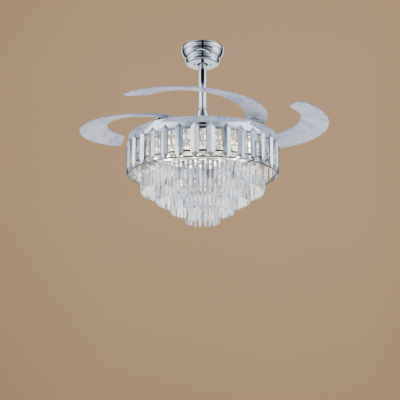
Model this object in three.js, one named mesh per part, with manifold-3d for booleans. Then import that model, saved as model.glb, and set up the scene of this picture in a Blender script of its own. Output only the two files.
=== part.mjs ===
// Ceiling fan with four folding clear blades over a chrome drum with a stepped crystal light.
// Millimetres, +Z up. The origin is the centre of the ceiling bracket's top face.
// Heights named in `drum`, `blade`, `rotor`, `motor` and `tiers` are measured from the drum's top edge.
import * as THREE from 'three';
import { ConvexGeometry } from 'three/addons/geometries/ConvexGeometry.js';
import { mergeVertices } from 'three/addons/utils/BufferGeometryUtils.js';
import Module from 'manifold-3d';

const wasm = await Module();
wasm.setup();

// ---------------------------------------------------------------- driving dimensions

const gap = 0.3; // left between faces that rest on each other
const turningGap = 0.4; // left between a turning face and its seat
const flatGap = 0.02; // least room between a bore's flats and the corners of what is in it
const facetGap = 0.004; // least room between a blade's facets and what seats on them
const bandSides = 44; // flats of the band, twice those of the pan inside it
const motorSides = 20; // flats of the motor covers and of the magnets inside them

const hanger = {
  dropToDrum: 326, // ceiling to the drum's top edge
  plateLength: 98,
  width: 40,
  plate: 2.5,
  depth: 50, // ceiling to the seat plate's top face
  seatHoleR: 22,
  slotLength: 16,
  slotWidth: 7,
  slotOffset: 33,
  ballR: 27,
  ballTopCut: 9, // half height of the ball above its centre
  ballBottomCut: 20,
  pinR: 3,
  receiver: { length: 84, width: 32, height: 14, corner: 4 },
};

const canopy = {
  radius: 73,
  height: 63,
  wall: 1.2,
  ceilingGap: 1,
  grooveZ: -44,
  grooveR: 59,
  bottomR: 54.5,
  rodHoleR: 19,
  screwOffset: 27,
  screwHeadR: 4.2,
  screwR: 2,
};

const rod = { outerR: 13.35, boreR: 10.8, topAboveBall: 12 };

const coupling = {
  collarR: 19,
  collarTop: 84,
  rodEnd: 64,
  boltZ: 74,
  boltR: 3,
  boltHeadR: 5.2,
  cupTop: 102,
  cupTopR: 15,
  cupMouthR: 34,
  cupWall: 1.2,
  cupClearance: 3.5, // above the turning motor cover
};

const drum = { radius: 248, height: 36, wall: 1.6, lip: 7, lipThickness: 1.4, panWall: 1.8 };

const motor = {
  radius: 88,
  wall: 3,
  top: 46,
  bottom: -26,
  shoulder: 6, // drop of each cover from hub to wall
  flangeR: 100,
  shaftR: 8.5,
  shaftBoreR: 5,
  bearingR: 20,
  bearingWidth: 12,
  statorTeeth: 9,
  statorHeight: 24,
  statorCentre: 8,
  airGap: 0.8,
  magnet: 5,
};

const rotor = {
  plate: 3,
  plateBottom: 4,
  rimWidth: 4.6,
  earR: 23,
  spring: { curls: 2.5, pitch: 1.95, wire: 1.4, radius: 8, leg: 6 },
  pinR: 5,
  pinHeadR: 8.8,
  pinHead: 3.4,
  bumperR: 3,
  bumperRadius: 17.5,
  keeperLip: 4,
};

const gears = { ringTeeth: 128, sectorTeeth: 32, plate: 3, backlash: 0.45, ringDepth: 16, pressure: 20 };

const blade = {
  count: 4,
  firstPivotAngle: -38.5,
  pivotInset: 43, // drum radius to pivot radius
  edgeInset: 3.5, // drum radius to the folded blade's outer edge
  openAngle: 51,
  thickness: 3,
  rootWidth: 64.5,
  midWidth: 93,
  tipWidth: 84.5,
  widestShare: 0.47,
  rootRound: 8.6, // degrees of blade behind the pivot
  innerSpan: 152,
  outerSpan: 160,
  rootOuterZ: 18,
  rootInnerZ: 33,
  outerRise: 28,
  innerRise: 25,
};

const arm = {
  discR: 24.5,
  hubR: 13,
  saddle: 3,
  saddleAhead: 24,
  saddleBehind: 6.4,
  saddleInset: 9,
  clamp: 2,
  clampInset: 13,
  screwR: 2,
  screwHeadR: 4,
  screwHead: 1.6,
};

const outerCrystals = {
  count: 28,
  width: 27.5,
  edge: 3,
  ridge: 10,
  point: -21,
  shoulder: -37,
  lowerShoulder: -119,
  lowerPoint: -133,
  railHeight: 6,
  rail: 1.4,
};

const setBackCrystals = { width: 26, depth: 8, inset: 6.5, bottom: -125, railHeight: 3 };

const guardRing = { top: -96, height: 17, wall: 1.4, inset: 3.5, rods: 4, rodR: 1.2 };

const tiers = {
  count: 4,
  outerR: 202,
  step: 50,
  firstRailZ: -124,
  drop: 34,
  prismLength: 65,
  prismWidth: 20,
  prismDepth: 8.5,
  pitch: 26,
  railHeight: 3,
  ribs: 4,
  ribWidth: 7,
  ribThickness: 2,
  hubR: 12,
};

const light = {
  boardR: 180,
  board: 1.6,
  diffuserWall: 2,
  diffuserHeight: 24,
  driver: { length: 130, width: 40, height: 22, corner: 5, radius: 150 },
  plateR: 45,
  plate: 3,
  nutR: 15,
  nut: 8,
};

// ---------------------------------------------------------------- derived places

const pivotR = drum.radius - blade.pivotInset;
const bladeOuterR = drum.radius - blade.edgeInset;
const toothModule = (2 * pivotR) / (gears.ringTeeth + gears.sectorTeeth);
const ringPitchR = (toothModule * gears.ringTeeth) / 2;
const plateTop = rotor.plateBottom + rotor.plate;
const springHeight = rotor.spring.curls * rotor.spring.pitch + rotor.spring.wire;
const gearBottom = plateTop + gap + springHeight + turningGap;
const gearTop = gearBottom + gears.plate;
const ringInnerR = ringPitchR - gears.ringDepth;
const rimOuterR = ringInnerR - turningGap;
const ballCentre = -hanger.depth + Math.sqrt(hanger.ballR ** 2 - hanger.seatHoleR ** 2) + gap;
const panTop = -drum.height + drum.lipThickness + gap + drum.panWall;
const panBottom = panTop - drum.panWall;

// ---------------------------------------------------------------- small tools

const radians = THREE.MathUtils.degToRad;

/** Welds a geometry, drops its degenerate faces and turns it to face outwards. */
function welded(geometry) {
  const bare = geometry.clone();
  bare.deleteAttribute('normal');
  bare.deleteAttribute('uv');
  const merged = mergeVertices(bare, 1e-4);
  const p = merged.attributes.position.array;
  const faces = [];
  let volume = 0;
  for (let i = 0; i < merged.index.count; i += 3) {
    const [a, b, c] = [0, 1, 2].map((k) => merged.index.getX(i + k));
    if (a === b || b === c || a === c) continue;
    faces.push(a, b, c);
    const [va, vb, vc] = [a, b, c].map((k) => new THREE.Vector3().fromArray(p, 3 * k));
    volume += va.dot(vb.cross(vc));
  }
  if (volume < 0) faces.reverse();
  merged.setIndex(faces);
  return merged;
}

/** A three.js geometry as a solid for joining and cutting. */
function solid(geometry) {
  const g = welded(geometry);
  const triVerts = new Uint32Array(g.index.array);
  return new wasm.Manifold(
    new wasm.Mesh({ numProp: 3, vertProperties: g.attributes.position.array, triVerts }),
  );
}

/** A joined or cut solid as a three.js geometry. */
function geometryOf(manifold) {
  const { vertProperties, triVerts } = manifold.getMesh();
  const g = new THREE.BufferGeometry();
  g.setAttribute('position', new THREE.BufferAttribute(new Float32Array(vertProperties), 3));
  g.setIndex(Array.from(triVerts));
  g.computeVertexNormals();
  return g;
}

/** Turns a closed [radius, height] outline round Z. */
function revolved(outline, segments) {
  const points = [...outline, outline[0]].map(([r, z]) => new THREE.Vector2(r, z));
  return new THREE.LatheGeometry(points, segments).rotateX(Math.PI / 2);
}

/** A flat outline standing on `bottom`, up to `top`. */
function plate(shape, bottom, top, curveSegments = 8) {
  const options = { depth: top - bottom, bevelEnabled: false, curveSegments };
  return new THREE.ExtrudeGeometry(shape, options).translate(0, 0, bottom);
}

function disc(radius, bottom, top, segments) {
  const g = new THREE.CylinderGeometry(radius, radius, top - bottom, segments);
  return g.rotateX(Math.PI / 2).translate(0, 0, (top + bottom) / 2);
}

function ring(innerR, outerR, bottom, top, segments) {
  return revolved([[innerR, bottom], [outerR, bottom], [outerR, top], [innerR, top]], segments);
}

function block(sizeX, sizeY, bottom, top) {
  return new THREE.BoxGeometry(sizeX, sizeY, top - bottom).translate(0, 0, (top + bottom) / 2);
}

function roundedRectangle(length, width, corner) {
  const [x, y] = [length / 2, width / 2];
  const s = new THREE.Shape();
  s.moveTo(-x + corner, -y);
  s.lineTo(x - corner, -y);
  s.absarc(x - corner, -y + corner, corner, -Math.PI / 2, 0, false);
  s.lineTo(x, y - corner);
  s.absarc(x - corner, y - corner, corner, 0, Math.PI / 2, false);
  s.lineTo(-x + corner, y);
  s.absarc(-x + corner, y - corner, corner, Math.PI / 2, Math.PI, false);
  s.lineTo(-x, -y + corner);
  s.absarc(-x + corner, -y + corner, corner, Math.PI, 1.5 * Math.PI, false);
  return s;
}

/** A round hole for an outline. */
function roundHole(x, y, radius, sides) {
  const corners = Array.from({ length: sides }, (_, i) => {
    const a = (-2 * Math.PI * i) / sides;
    return new THREE.Vector2(x + radius * Math.cos(a), y + radius * Math.sin(a));
  });
  return new THREE.Path(corners);
}

/** The corner radius of a faceted bore round a shaft: its flats clear the shaft's corners too. */
function boreFor(shaftR, sides, clearance = gap) {
  return Math.max(shaftR + clearance, (shaftR + flatGap) / Math.cos(Math.PI / sides));
}

/** A point at a radius and an angle in degrees. */
function polar(radius, degrees) {
  return new THREE.Vector2(radius * Math.cos(radians(degrees)), radius * Math.sin(radians(degrees)));
}

/** A slot along an arc of `radius`, from one angle to another, as a closed outline. */
function arcSlot(radius, width, from, to) {
  const [a, b] = [radians(from), radians(to)];
  const half = width / 2;
  const s = new THREE.Shape();
  s.absarc(0, 0, radius + half, a, b, false);
  s.absarc(radius * Math.cos(b), radius * Math.sin(b), half, b, b + Math.PI, false);
  s.absarc(0, 0, radius - half, b, a, true);
  s.absarc(radius * Math.cos(a), radius * Math.sin(a), half, a + Math.PI, a + 2 * Math.PI, false);
  return s;
}

const finishes = {
  chrome: { color: 0xd9dde2, metalness: 1, roughness: 0.08 },
  steel: { color: 0x9a9ea3, metalness: 1, roughness: 0.4 },
  aluminium: { color: 0xc2c5c9, metalness: 1, roughness: 0.35 },
  copper: { color: 0xb3683a, metalness: 1, roughness: 0.35 },
  lamination: { color: 0x5c6066, metalness: 0.9, roughness: 0.55 },
  magnet: { color: 0x3a3c40, metalness: 0.6, roughness: 0.6 },
  nylon: { color: 0x2a2b2e, metalness: 0, roughness: 0.5 },
  whitePlastic: { color: 0xeceded, metalness: 0, roughness: 0.4 },
  rubber: { color: 0x1b1b1c, metalness: 0, roughness: 0.85 },
  acrylic: { color: 0xd8dcec, metalness: 0, roughness: 0.12, transparent: true, opacity: 0.45 },
  opal: { color: 0xfff6e6, metalness: 0, roughness: 0.5, emissive: 0xfff0d8, emissiveIntensity: 1 },
  crystal: { color: 0xe8eef6, metalness: 0, roughness: 0.03, transparent: true, opacity: 0.6 },
  board: { color: 0xf2f2ee, metalness: 0, roughness: 0.5 },
};

const materials = Object.fromEntries(
  Object.entries(finishes).map(([name, values]) => [name, new THREE.MeshStandardMaterial(values)]),
);

function part(group, name, geometry, finish) {
  const mesh = new THREE.Mesh(geometry, materials[finish]);
  mesh.name = name;
  group.add(mesh);
  return mesh;
}

// ---------------------------------------------------------------- ceiling hanger and downrod

/** A strap bent to a U with its seat plate below, which the hanger ball rests in. */
function ceilingBracket() {
  const { plateLength, width, plate: t, depth, seatHoleR, slotLength, slotWidth, slotOffset } = hanger;
  let body = solid(block(plateLength, width, -t, 0));
  body = body.add(solid(block(plateLength, width, -depth - t, -depth)));
  for (const side of [-1, 1]) {
    const leg = block(t, width, -depth - t, 0).translate((side * (plateLength - t)) / 2, 0, 0);
    body = body.add(solid(leg));
    const slot = plate(roundedRectangle(slotLength, slotWidth, slotWidth / 2 - 0.01), -t - 1, 1, 2);
    body = body.subtract(solid(slot.translate(side * slotOffset, 0, 0)));
    const tapped = disc(canopy.screwR + gap, -depth - t - 1, -depth + 1, 8);
    body = body.subtract(solid(tapped.translate(side * canopy.screwOffset, 0, 0)));
  }
  return geometryOf(body.subtract(solid(disc(seatHoleR, -depth - t - 1, -depth + 1, 20))));
}

/** A spun bell: widest under its rim, drawn in to a groove, with a flat polished underside. */
function canopyShell() {
  const { radius, height, wall, ceilingGap, grooveZ, grooveR, bottomR, rodHoleR } = canopy;
  const outside = [
    [radius - 2.5, -ceilingGap],
    [radius, -ceilingGap - 9],
    [radius - 4.5, grooveZ + 16],
    [grooveR, grooveZ + 1.5],
    [grooveR, grooveZ - 1.5],
    [bottomR, -height + 3],
    [bottomR - 3, -height],
  ];
  const inner = [0, 1, 2, 3, 5].map((i) => outside[i]).reverse();
  const inside = inner.map(([r, z]) => [r - wall - 0.6, z]);
  const floor = [[rodHoleR, -height], [rodHoleR, -height + wall], [bottomR - 4, -height + wall]];
  return revolved([...outside, ...floor, ...inside], 24);
}

/** A pan-head screw standing up through the canopy into the bracket's seat plate. */
function canopyScrew() {
  const { height, screwHeadR, screwR } = canopy;
  const head = disc(screwHeadR, -height - 2.2, -height - gap, 10);
  const shank = disc(screwR, -height - gap - 0.1, -hanger.depth, 6);
  return geometryOf(solid(head).add(solid(shank)));
}

function canopyWithScrewHoles() {
  const { screwOffset, screwR, height, wall } = canopy;
  return [-1, 1].reduce((body, side) => {
    const hole = disc(screwR + gap, -height - 1, -height + wall + 1, 8);
    return body.subtract(solid(hole.translate(side * screwOffset, 0, 0)));
  }, solid(canopyShell()));
}

/** A truncated ball with the rod's bore and the cross pin's hole. */
function hangerBall() {
  const { ballR, ballTopCut, ballBottomCut, pinR } = hanger;
  const outline = [];
  const [low, high] = [-Math.asin(ballBottomCut / ballR), Math.asin(ballTopCut / ballR)];
  const steps = 3;
  for (let i = 0; i <= steps; i++) {
    const a = low + ((high - low) * i) / steps;
    outline.push([ballR * Math.cos(a), ballR * Math.sin(a)]);
  }
  const sides = 16;
  const bore = boreFor(rod.outerR, sides);
  const profile = [[bore, -ballBottomCut], ...outline, [bore, ballTopCut]];
  const pinHole = disc(pinR + gap, -ballR, ballR, 10).rotateY(Math.PI / 2);
  return geometryOf(solid(revolved(profile, sides)).subtract(solid(pinHole)));
}

function hangerPin() {
  const { pinR, ballR } = hanger;
  return disc(pinR, -ballR + 3, ballR - 3, 10).rotateY(Math.PI / 2);
}

/** The downrod's tube, drilled near each end for its cross pin and its coupling bolt. */
function downrod(top, bottom, pinZ, boltZ) {
  const tube = solid(ring(rod.boreR, rod.outerR, bottom, top, 18));
  const across = (radius, z) => {
    const drill = disc(radius + gap, -rod.outerR - 2, rod.outerR + 2, 8);
    return solid(drill.rotateY(Math.PI / 2).translate(0, 0, z));
  };
  return geometryOf(tube.subtract(across(hanger.pinR, pinZ)).subtract(across(coupling.boltR, boltZ)));
}

// ---------------------------------------------------------------- coupling

/** A turned collar that takes the downrod above and the motor's fixed shaft below. */
function couplingCollar() {
  const { collarR, collarTop, rodEnd, boltZ, boltR } = coupling;
  const bottom = motor.top + coupling.cupClearance;
  const seat = rodEnd - gap;
  const sides = 16;
  const bore = boreFor(rod.outerR, sides);
  const shaftBore = boreFor(motor.shaftR, sides);
  const profile = [
    [shaftBore, bottom], [collarR, bottom], [collarR, collarTop],
    [bore, collarTop], [bore, seat], [shaftBore, seat],
  ];
  const drill = disc(boltR + gap, -collarR - 2, collarR + 2, 8).rotateY(Math.PI / 2);
  return geometryOf(solid(revolved(profile, sides)).subtract(solid(drill.translate(0, 0, boltZ))));
}

function couplingBolt() {
  const { collarR, boltR, boltHeadR, boltZ } = coupling;
  const end = collarR + gap;
  const thick = 3.4;
  const body = [
    disc(boltR, -end - thick, end + thick, 8),
    disc(boltHeadR, end, end + thick, 6),
    disc(boltHeadR, -end - thick, -end, 6),
  ];
  const joined = body.map(solid).reduce((a, b) => a.add(b));
  return geometryOf(joined).rotateY(Math.PI / 2).translate(0, 0, boltZ);
}

/** A spun cup that covers the coupling, closed round the rod and open below. */
function couplingCup() {
  const { cupTop, cupTopR, cupMouthR, cupWall, cupClearance } = coupling;
  const mouth = motor.top + cupClearance;
  const rise = cupTop - mouth;
  const shares = [[0, 1], [0.16, 0.96], [0.45, 0.62], [0.85, 0.24], [1, 0]];
  const width = cupMouthR - cupTopR;
  const outside = shares.map(([up, out]) => [cupTopR + width * out, mouth + rise * up]);
  const sides = 18;
  const bore = boreFor(rod.outerR, sides);
  const inside = outside.slice(0, -1).map(([r, z]) => [r - cupWall, z]).reverse();
  const neck = [[bore, cupTop], [bore, mouth + rise * 0.87]];
  return revolved([...outside, ...neck, ...inside], sides);
}

// ---------------------------------------------------------------- motor

/** Half of the motor's turning housing: hub with a bearing seat, shoulder, wall and flange. */
function motorCover(hubZ, flangeNear, flangeFar, direction) {
  const { radius, wall, shoulder, flangeR, bearingR, bearingWidth, shaftR } = motor;
  const inwards = (z, by) => z - direction * by;
  const seatR = bearingR + gap;
  const boss = 4;
  const profile = [
    [shaftR + 2, hubZ], [bearingR + boss + 14, hubZ], [radius, inwards(hubZ, shoulder)],
    [radius, flangeFar], [flangeR, flangeFar], [flangeR, flangeNear], [radius - wall, flangeNear],
    [radius - wall, inwards(hubZ, shoulder + 2)], [bearingR + boss, inwards(hubZ, wall)],
    [bearingR + boss, inwards(hubZ, wall + bearingWidth)],
    [seatR, inwards(hubZ, wall + bearingWidth)], [seatR, inwards(hubZ, wall)],
    [shaftR + 2, inwards(hubZ, wall)],
  ];
  if (direction > 0) profile.reverse();
  return revolved(profile, motorSides);
}

function topCover() {
  const near = plateTop + gap;
  return motorCover(motor.top, near, near + 3, 1);
}

function bottomCover() {
  const near = rotor.plateBottom - gap;
  return motorCover(motor.bottom, near, near - 3, -1);
}

function bearing(bottom) {
  const { shaftR, bearingR, bearingWidth } = motor;
  const [inner, top] = [shaftR + gap, bottom + bearingWidth];
  return ring(inner, bearingR, bottom, top, 16);
}

const magnetOuterR = motor.radius - motor.wall - gap;
const statorR = magnetOuterR - motor.magnet - motor.airGap;
const statorHubR = 30;

/** The laminated stack: one outline of T-shaped teeth round a hub. */
function statorCore(bottom, top) {
  const pitch = 360 / motor.statorTeeth;
  const [webHalf, shoe, shoeInner] = [4.5, 0.4 * pitch, statorR - 4];
  const webAngle = (r) => THREE.MathUtils.radToDeg(Math.asin(webHalf / r));
  const side = [
    [statorHubR, webAngle(statorHubR)], [shoeInner, webAngle(shoeInner)],
    [shoeInner, shoe], [statorR - 0.6, shoe / 2],
  ];
  const corners = [];
  for (let i = 0; i < motor.statorTeeth; i++) {
    corners.push(...side.map(([r, a]) => polar(r, pitch * i - a)));
    corners.push(...[...side].reverse().map(([r, a]) => polar(r, pitch * i + a)));
  }
  const outline = new THREE.Shape(corners);
  outline.holes.push(roundHole(0, 0, motor.shaftR + gap, 16));
  return plate(outline, bottom, top);
}

/** The end turns above and below the stack, joined through every third slot. */
function windings(bottom, top) {
  const pitch = 360 / motor.statorTeeth;
  const [innerR, outerR] = [statorHubR + 2, statorR - 6.5];
  const endTurn = 6;
  let body = solid(ring(innerR, outerR, top + gap, top + gap + endTurn, 15));
  body = body.add(solid(ring(innerR, outerR, bottom - gap - endTurn, bottom - gap, 15)));
  for (let i = 0; i < motor.statorTeeth; i += 3) {
    const bundle = block(outerR - innerR - 12, 9, bottom - gap - 1, top + gap + 1);
    bundle.translate((outerR + innerR) / 2 + 1, 0, 0).rotateZ(radians(pitch * (i + 0.5)));
    body = body.add(solid(bundle));
  }
  return geometryOf(body);
}

// ---------------------------------------------------------------- gears

/** Half the angle that an involute tooth takes at a radius. */
function halfToothAngle(radius, teeth) {
  const pitchRadius = (toothModule * teeth) / 2;
  const baseRadius = pitchRadius * Math.cos(radians(gears.pressure));
  const involute = (angle) => Math.tan(angle) - angle;
  const here = radius > baseRadius ? involute(Math.acos(baseRadius / radius)) : 0;
  const thinned = gears.backlash / 2 / (2 * pitchRadius);
  return Math.PI / (2 * teeth) - thinned + involute(radians(gears.pressure)) - here;
}

/** Points of one tooth, from its clockwise root to its counter-clockwise root. */
function toothPoints(centre, teeth) {
  const pitchRadius = (toothModule * teeth) / 2;
  const rootR = pitchRadius - 1.2 * toothModule;
  const tipR = pitchRadius + 0.9 * toothModule;
  const flank = (side) => [rootR, tipR].map((r) => [r, centre + side * halfToothAngle(r, teeth)]);
  return [...flank(-1), ...flank(1).reverse()].map(([r, a]) => [r * Math.cos(a), r * Math.sin(a)]);
}

/** The ring that keeps the four blades in step: teeth only where each blade's sector meets it. */
function synchroRing() {
  const pitch = 360 / gears.ringTeeth;
  const travel = (blade.openAngle * gears.sectorTeeth) / gears.ringTeeth;
  const before = Math.ceil(travel / pitch) + 1;
  const after = 1;
  const perBlade = gears.ringTeeth / blade.count;
  const rootR = ringPitchR - 1.2 * toothModule;
  const points = [];
  for (let b = 0; b < blade.count; b++) {
    const start = blade.firstPivotAngle + (360 / blade.count) * b;
    for (let k = -before; k <= after; k++) {
      points.push(...toothPoints(radians(start + k * pitch), gears.ringTeeth));
    }
    for (let k = after + 1; k < perBlade - before; k += 4) {
      const a = radians(start + k * pitch);
      points.push([rootR * Math.cos(a), rootR * Math.sin(a)]);
    }
  }
  const outline = new THREE.Shape(points.map(([x, y]) => new THREE.Vector2(x, y)));
  const sides = 44;
  outline.holes.push(roundHole(0, 0, boreFor(rimOuterR, sides, turningGap), sides));
  return plate(outline, gearBottom, gearTop);
}

// ---------------------------------------------------------------- blade carrier and its small parts

/** The carrier's plate: a ring with an ear for each pivot, and the pivots' holes. */
function carrierOutline() {
  const root = rimOuterR + 6;
  const earRoot = 13; // degrees either side of the ear's middle
  const corners = [];
  const holes = [roundHole(0, 0, motor.radius + 0.6, 28)];
  for (let b = 0; b < blade.count; b++) {
    const turn = blade.firstPivotAngle + (360 / blade.count) * b;
    const at = (x, y) => new THREE.Vector2(x, y).rotateAround(new THREE.Vector2(), radians(turn));
    const neck = [[root + 9, 27], [pivotR - 22, rotor.earR + 1]];
    corners.push(polar(root, turn - earRoot), ...neck.map(([x, y]) => at(x, -y)));
    for (let k = -2; k <= 2; k++) {
      const end = polar(rotor.earR, 42 * k);
      corners.push(at(pivotR + end.x, end.y));
    }
    corners.push(...neck.reverse().map(([x, y]) => at(x, y)));
    for (let k = 0; k < 3; k++) {
      corners.push(polar(root, turn + earRoot + ((360 / blade.count - 2 * earRoot) * k) / 3));
    }
    const pivot = at(pivotR, 0);
    holes.push(roundHole(pivot.x, pivot.y, rotor.pinR + gap, 10));
  }
  const outline = new THREE.Shape(corners);
  outline.holes.push(...holes);
  return outline;
}

/** The pressed plate between the motor covers, with the rim that the synchro ring turns on. */
function bladeCarrier() {
  const rimTop = gearTop + turningGap;
  const seatTop = gearBottom - turningGap;
  const rimInnerR = rimOuterR - rotor.rimWidth;
  const profile = [
    [rimInnerR, plateTop - 1], [rimOuterR + 5.5, plateTop - 1], [rimOuterR + 5.5, seatTop],
    [rimOuterR, seatTop], [rimOuterR, rimTop], [rimInnerR, rimTop],
  ];
  let body = solid(plate(carrierOutline(), rotor.plateBottom, plateTop));
  body = body.add(solid(revolved(profile, 26)));
  for (let b = 0; b < blade.count; b++) {
    const middle = blade.firstPivotAngle + (360 / blade.count) * (b + 0.5);
    const corners = [-4, 4].map((a) => polar(rimOuterR + rotor.keeperLip, middle + a));
    corners.push(...[4, -4].map((a) => polar(rimInnerR + 1.5, middle + a)));
    body = body.add(solid(plate(new THREE.Shape(corners), rimTop - 0.2, rimTop + 1.6)));
  }
  return geometryOf(body);
}

/** The shoulder pin a blade turns on, riveted under its ear and headed inside the arm's hub. */
function pivotPin() {
  const { pinR, pinHeadR, pinHead, plateBottom } = rotor;
  const shoulder = gearTop + gap;
  const profile = [
    [0, plateBottom - gap - 2.4], [pinHeadR - 1.6, plateBottom - gap - 2.4],
    [pinHeadR - 0.6, plateBottom - gap], [pinR, plateBottom - gap], [pinR, shoulder],
    [pinHeadR, shoulder], [pinHeadR - 1, shoulder + pinHead], [0, shoulder + pinHead],
  ];
  const points = profile.map(([r, z]) => new THREE.Vector2(r, z));
  return new THREE.LatheGeometry(points, 10).rotateX(Math.PI / 2);
}

/** The rubber buffer that stops the arm at each end of its slot. */
function stopBumper() {
  return disc(rotor.bumperR, plateTop + gap, gearTop - gap, 10).translate(rotor.bumperRadius, 0, 0);
}

/** Centre line of the torsion spring: two straight legs and the curls between them. */
function springPath() {
  const { curls, pitch, wire, radius, leg } = rotor.spring;
  const start = plateTop + gap + wire / 2;
  const points = [new THREE.Vector3(radius, -leg, start)];
  const steps = Math.round(curls * 8);
  for (let i = 0; i <= steps; i++) {
    const a = (2 * Math.PI * i) / 8;
    const z = start + (pitch * i) / 8;
    points.push(new THREE.Vector3(radius * Math.cos(a), radius * Math.sin(a), z));
  }
  const last = 2 * Math.PI * curls;
  const [dx, dy] = [-Math.sin(last), Math.cos(last)];
  const end = points[points.length - 1];
  points.push(new THREE.Vector3(end.x + leg * dx, end.y + leg * dy, end.z));
  return points;
}

/** Least distance between surfaces of stretches of the spring that aren't next to each other. */
function leastSelfGap(points, wire) {
  let least = Infinity;
  points.forEach((p, i) => {
    for (let j = i + 5; j < points.length; j++) least = Math.min(least, p.distanceTo(points[j]) - wire);
  });
  return least;
}

function foldSpring() {
  const points = springPath();
  const section = new THREE.Shape();
  const r = rotor.spring.wire / 2;
  for (let k = 0; k < 5; k++) {
    const a = (2 * Math.PI * k) / 5;
    if (k === 0) section.moveTo(r, 0);
    else section.lineTo(r * Math.cos(a), r * Math.sin(a));
  }
  const extrudePath = new THREE.CatmullRomCurve3(points, false, 'centripetal');
  return new THREE.ExtrudeGeometry(section, { steps: points.length, extrudePath, bevelEnabled: false });
}

// ---------------------------------------------------------------- blade, arm and clamp
// Built folded, with the pivot at the group's origin and the drum's axis at (-pivotR, 0).

/** Blade width, and the heights of its two edges, at an angle ahead of the pivot. */
function bladeSection(ahead) {
  const s = (ahead + 2.6) / (blade.outerSpan + 2.6);
  const { rootWidth, midWidth, tipWidth, widestShare: w } = blade;
  const toRoot = Math.max(0, (w - s) / w) ** 2.1;
  const toTip = Math.max(0, (s - w) / (1 - w)) ** 1.5;
  return {
    width: midWidth - (midWidth - rootWidth) * toRoot - (midWidth - tipWidth) * toTip,
    outerZ: blade.rootOuterZ + blade.outerRise * (s / 7 + (6 / 7) * s * s),
    innerZ: blade.rootInnerZ + blade.innerRise * Math.sin((Math.PI / 2) * s),
  };
}

/** A point of the blade's middle surface; `across` runs from 0 at the inner edge to 1 outside. */
function bladePoint(ahead, across, lift) {
  const { width, outerZ, innerZ } = bladeSection(ahead);
  const r = bladeOuterR - width * (1 - across);
  const a = radians(-ahead);
  const z = innerZ + (outerZ - innerZ) * across + lift;
  return new THREE.Vector3(r * Math.cos(a) - pivotR, r * Math.sin(a), z);
}

/** A sheet that follows the blade's surface between two lifts, over a grid of [ahead, across]. */
function bladeSheet(grid, lower, upper) {
  const [rows, columns] = [grid.length, grid[0].length];
  const vertices = [];
  for (const lift of [lower, upper]) {
    for (const row of grid) {
      for (const [ahead, across] of row) vertices.push(...bladePoint(ahead, across, lift).toArray());
    }
  }
  const at = (i, j, layer) => layer * rows * columns + i * columns + j;
  const index = [];
  const quad = (a, b, c, d) => index.push(a, b, c, a, c, d);
  for (let i = 0; i < rows - 1; i++) {
    for (let j = 0; j < columns - 1; j++) {
      quad(at(i, j, 1), at(i, j + 1, 1), at(i + 1, j + 1, 1), at(i + 1, j, 1));
      quad(at(i, j, 0), at(i + 1, j, 0), at(i + 1, j + 1, 0), at(i, j + 1, 0));
    }
    quad(at(i, 0, 0), at(i, 0, 1), at(i + 1, 0, 1), at(i + 1, 0, 0));
    const j = columns - 1;
    quad(at(i, j, 0), at(i + 1, j, 0), at(i + 1, j, 1), at(i, j, 1));
  }
  for (let j = 0; j < columns - 1; j++) {
    quad(at(0, j, 0), at(0, j + 1, 0), at(0, j + 1, 1), at(0, j, 1));
    const i = rows - 1;
    quad(at(i, j, 0), at(i, j, 1), at(i, j + 1, 1), at(i, j + 1, 0));
  }
  const g = new THREE.BufferGeometry();
  g.setAttribute('position', new THREE.Float32BufferAttribute(vertices, 3));
  g.setIndex(index);
  return g;
}

/** The grid of a strip whose ends are given, for each share across, as angles ahead. */
function stripGrid(shares, from, to, steps) {
  return Array.from({ length: steps + 1 }, (_, i) =>
    shares.map((w) => [from(w) + ((to(w) - from(w)) * i) / steps, w]),
  );
}

const screwPlaces = [[2, 0.8], [13, 0.3], [15, 0.72]]; // angle ahead of the pivot, share across

function screwHole(radius, ahead, across, below, above) {
  const p = bladePoint(ahead, across, 0);
  return disc(radius, p.z - below, p.z + above, 6).translate(p.x, p.y, 0);
}

/** The whole blade's outline between two lifts. */
function bladeSlab(lower, upper) {
  const { rootRound, innerSpan, outerSpan } = blade;
  const rootEnd = (w) => -rootRound * Math.sqrt(Math.max(0, 1 - (2 * w - 1) ** 2));
  const tipEnd = (w) => innerSpan + (outerSpan - innerSpan) * w + 2.5 * Math.sin(Math.PI * w);
  return solid(bladeSheet(stripGrid([0, 0.18, 0.82, 1], rootEnd, tipEnd, 16), lower, upper));
}

function bladeBody() {
  const sheet = bladeSlab(-blade.thickness / 2, blade.thickness / 2);
  return geometryOf(
    screwPlaces.reduce((body, [ahead, across]) => {
      return body.subtract(solid(screwHole(arm.screwR + gap, ahead, across, 8, 8)));
    }, sheet),
  );
}

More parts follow.
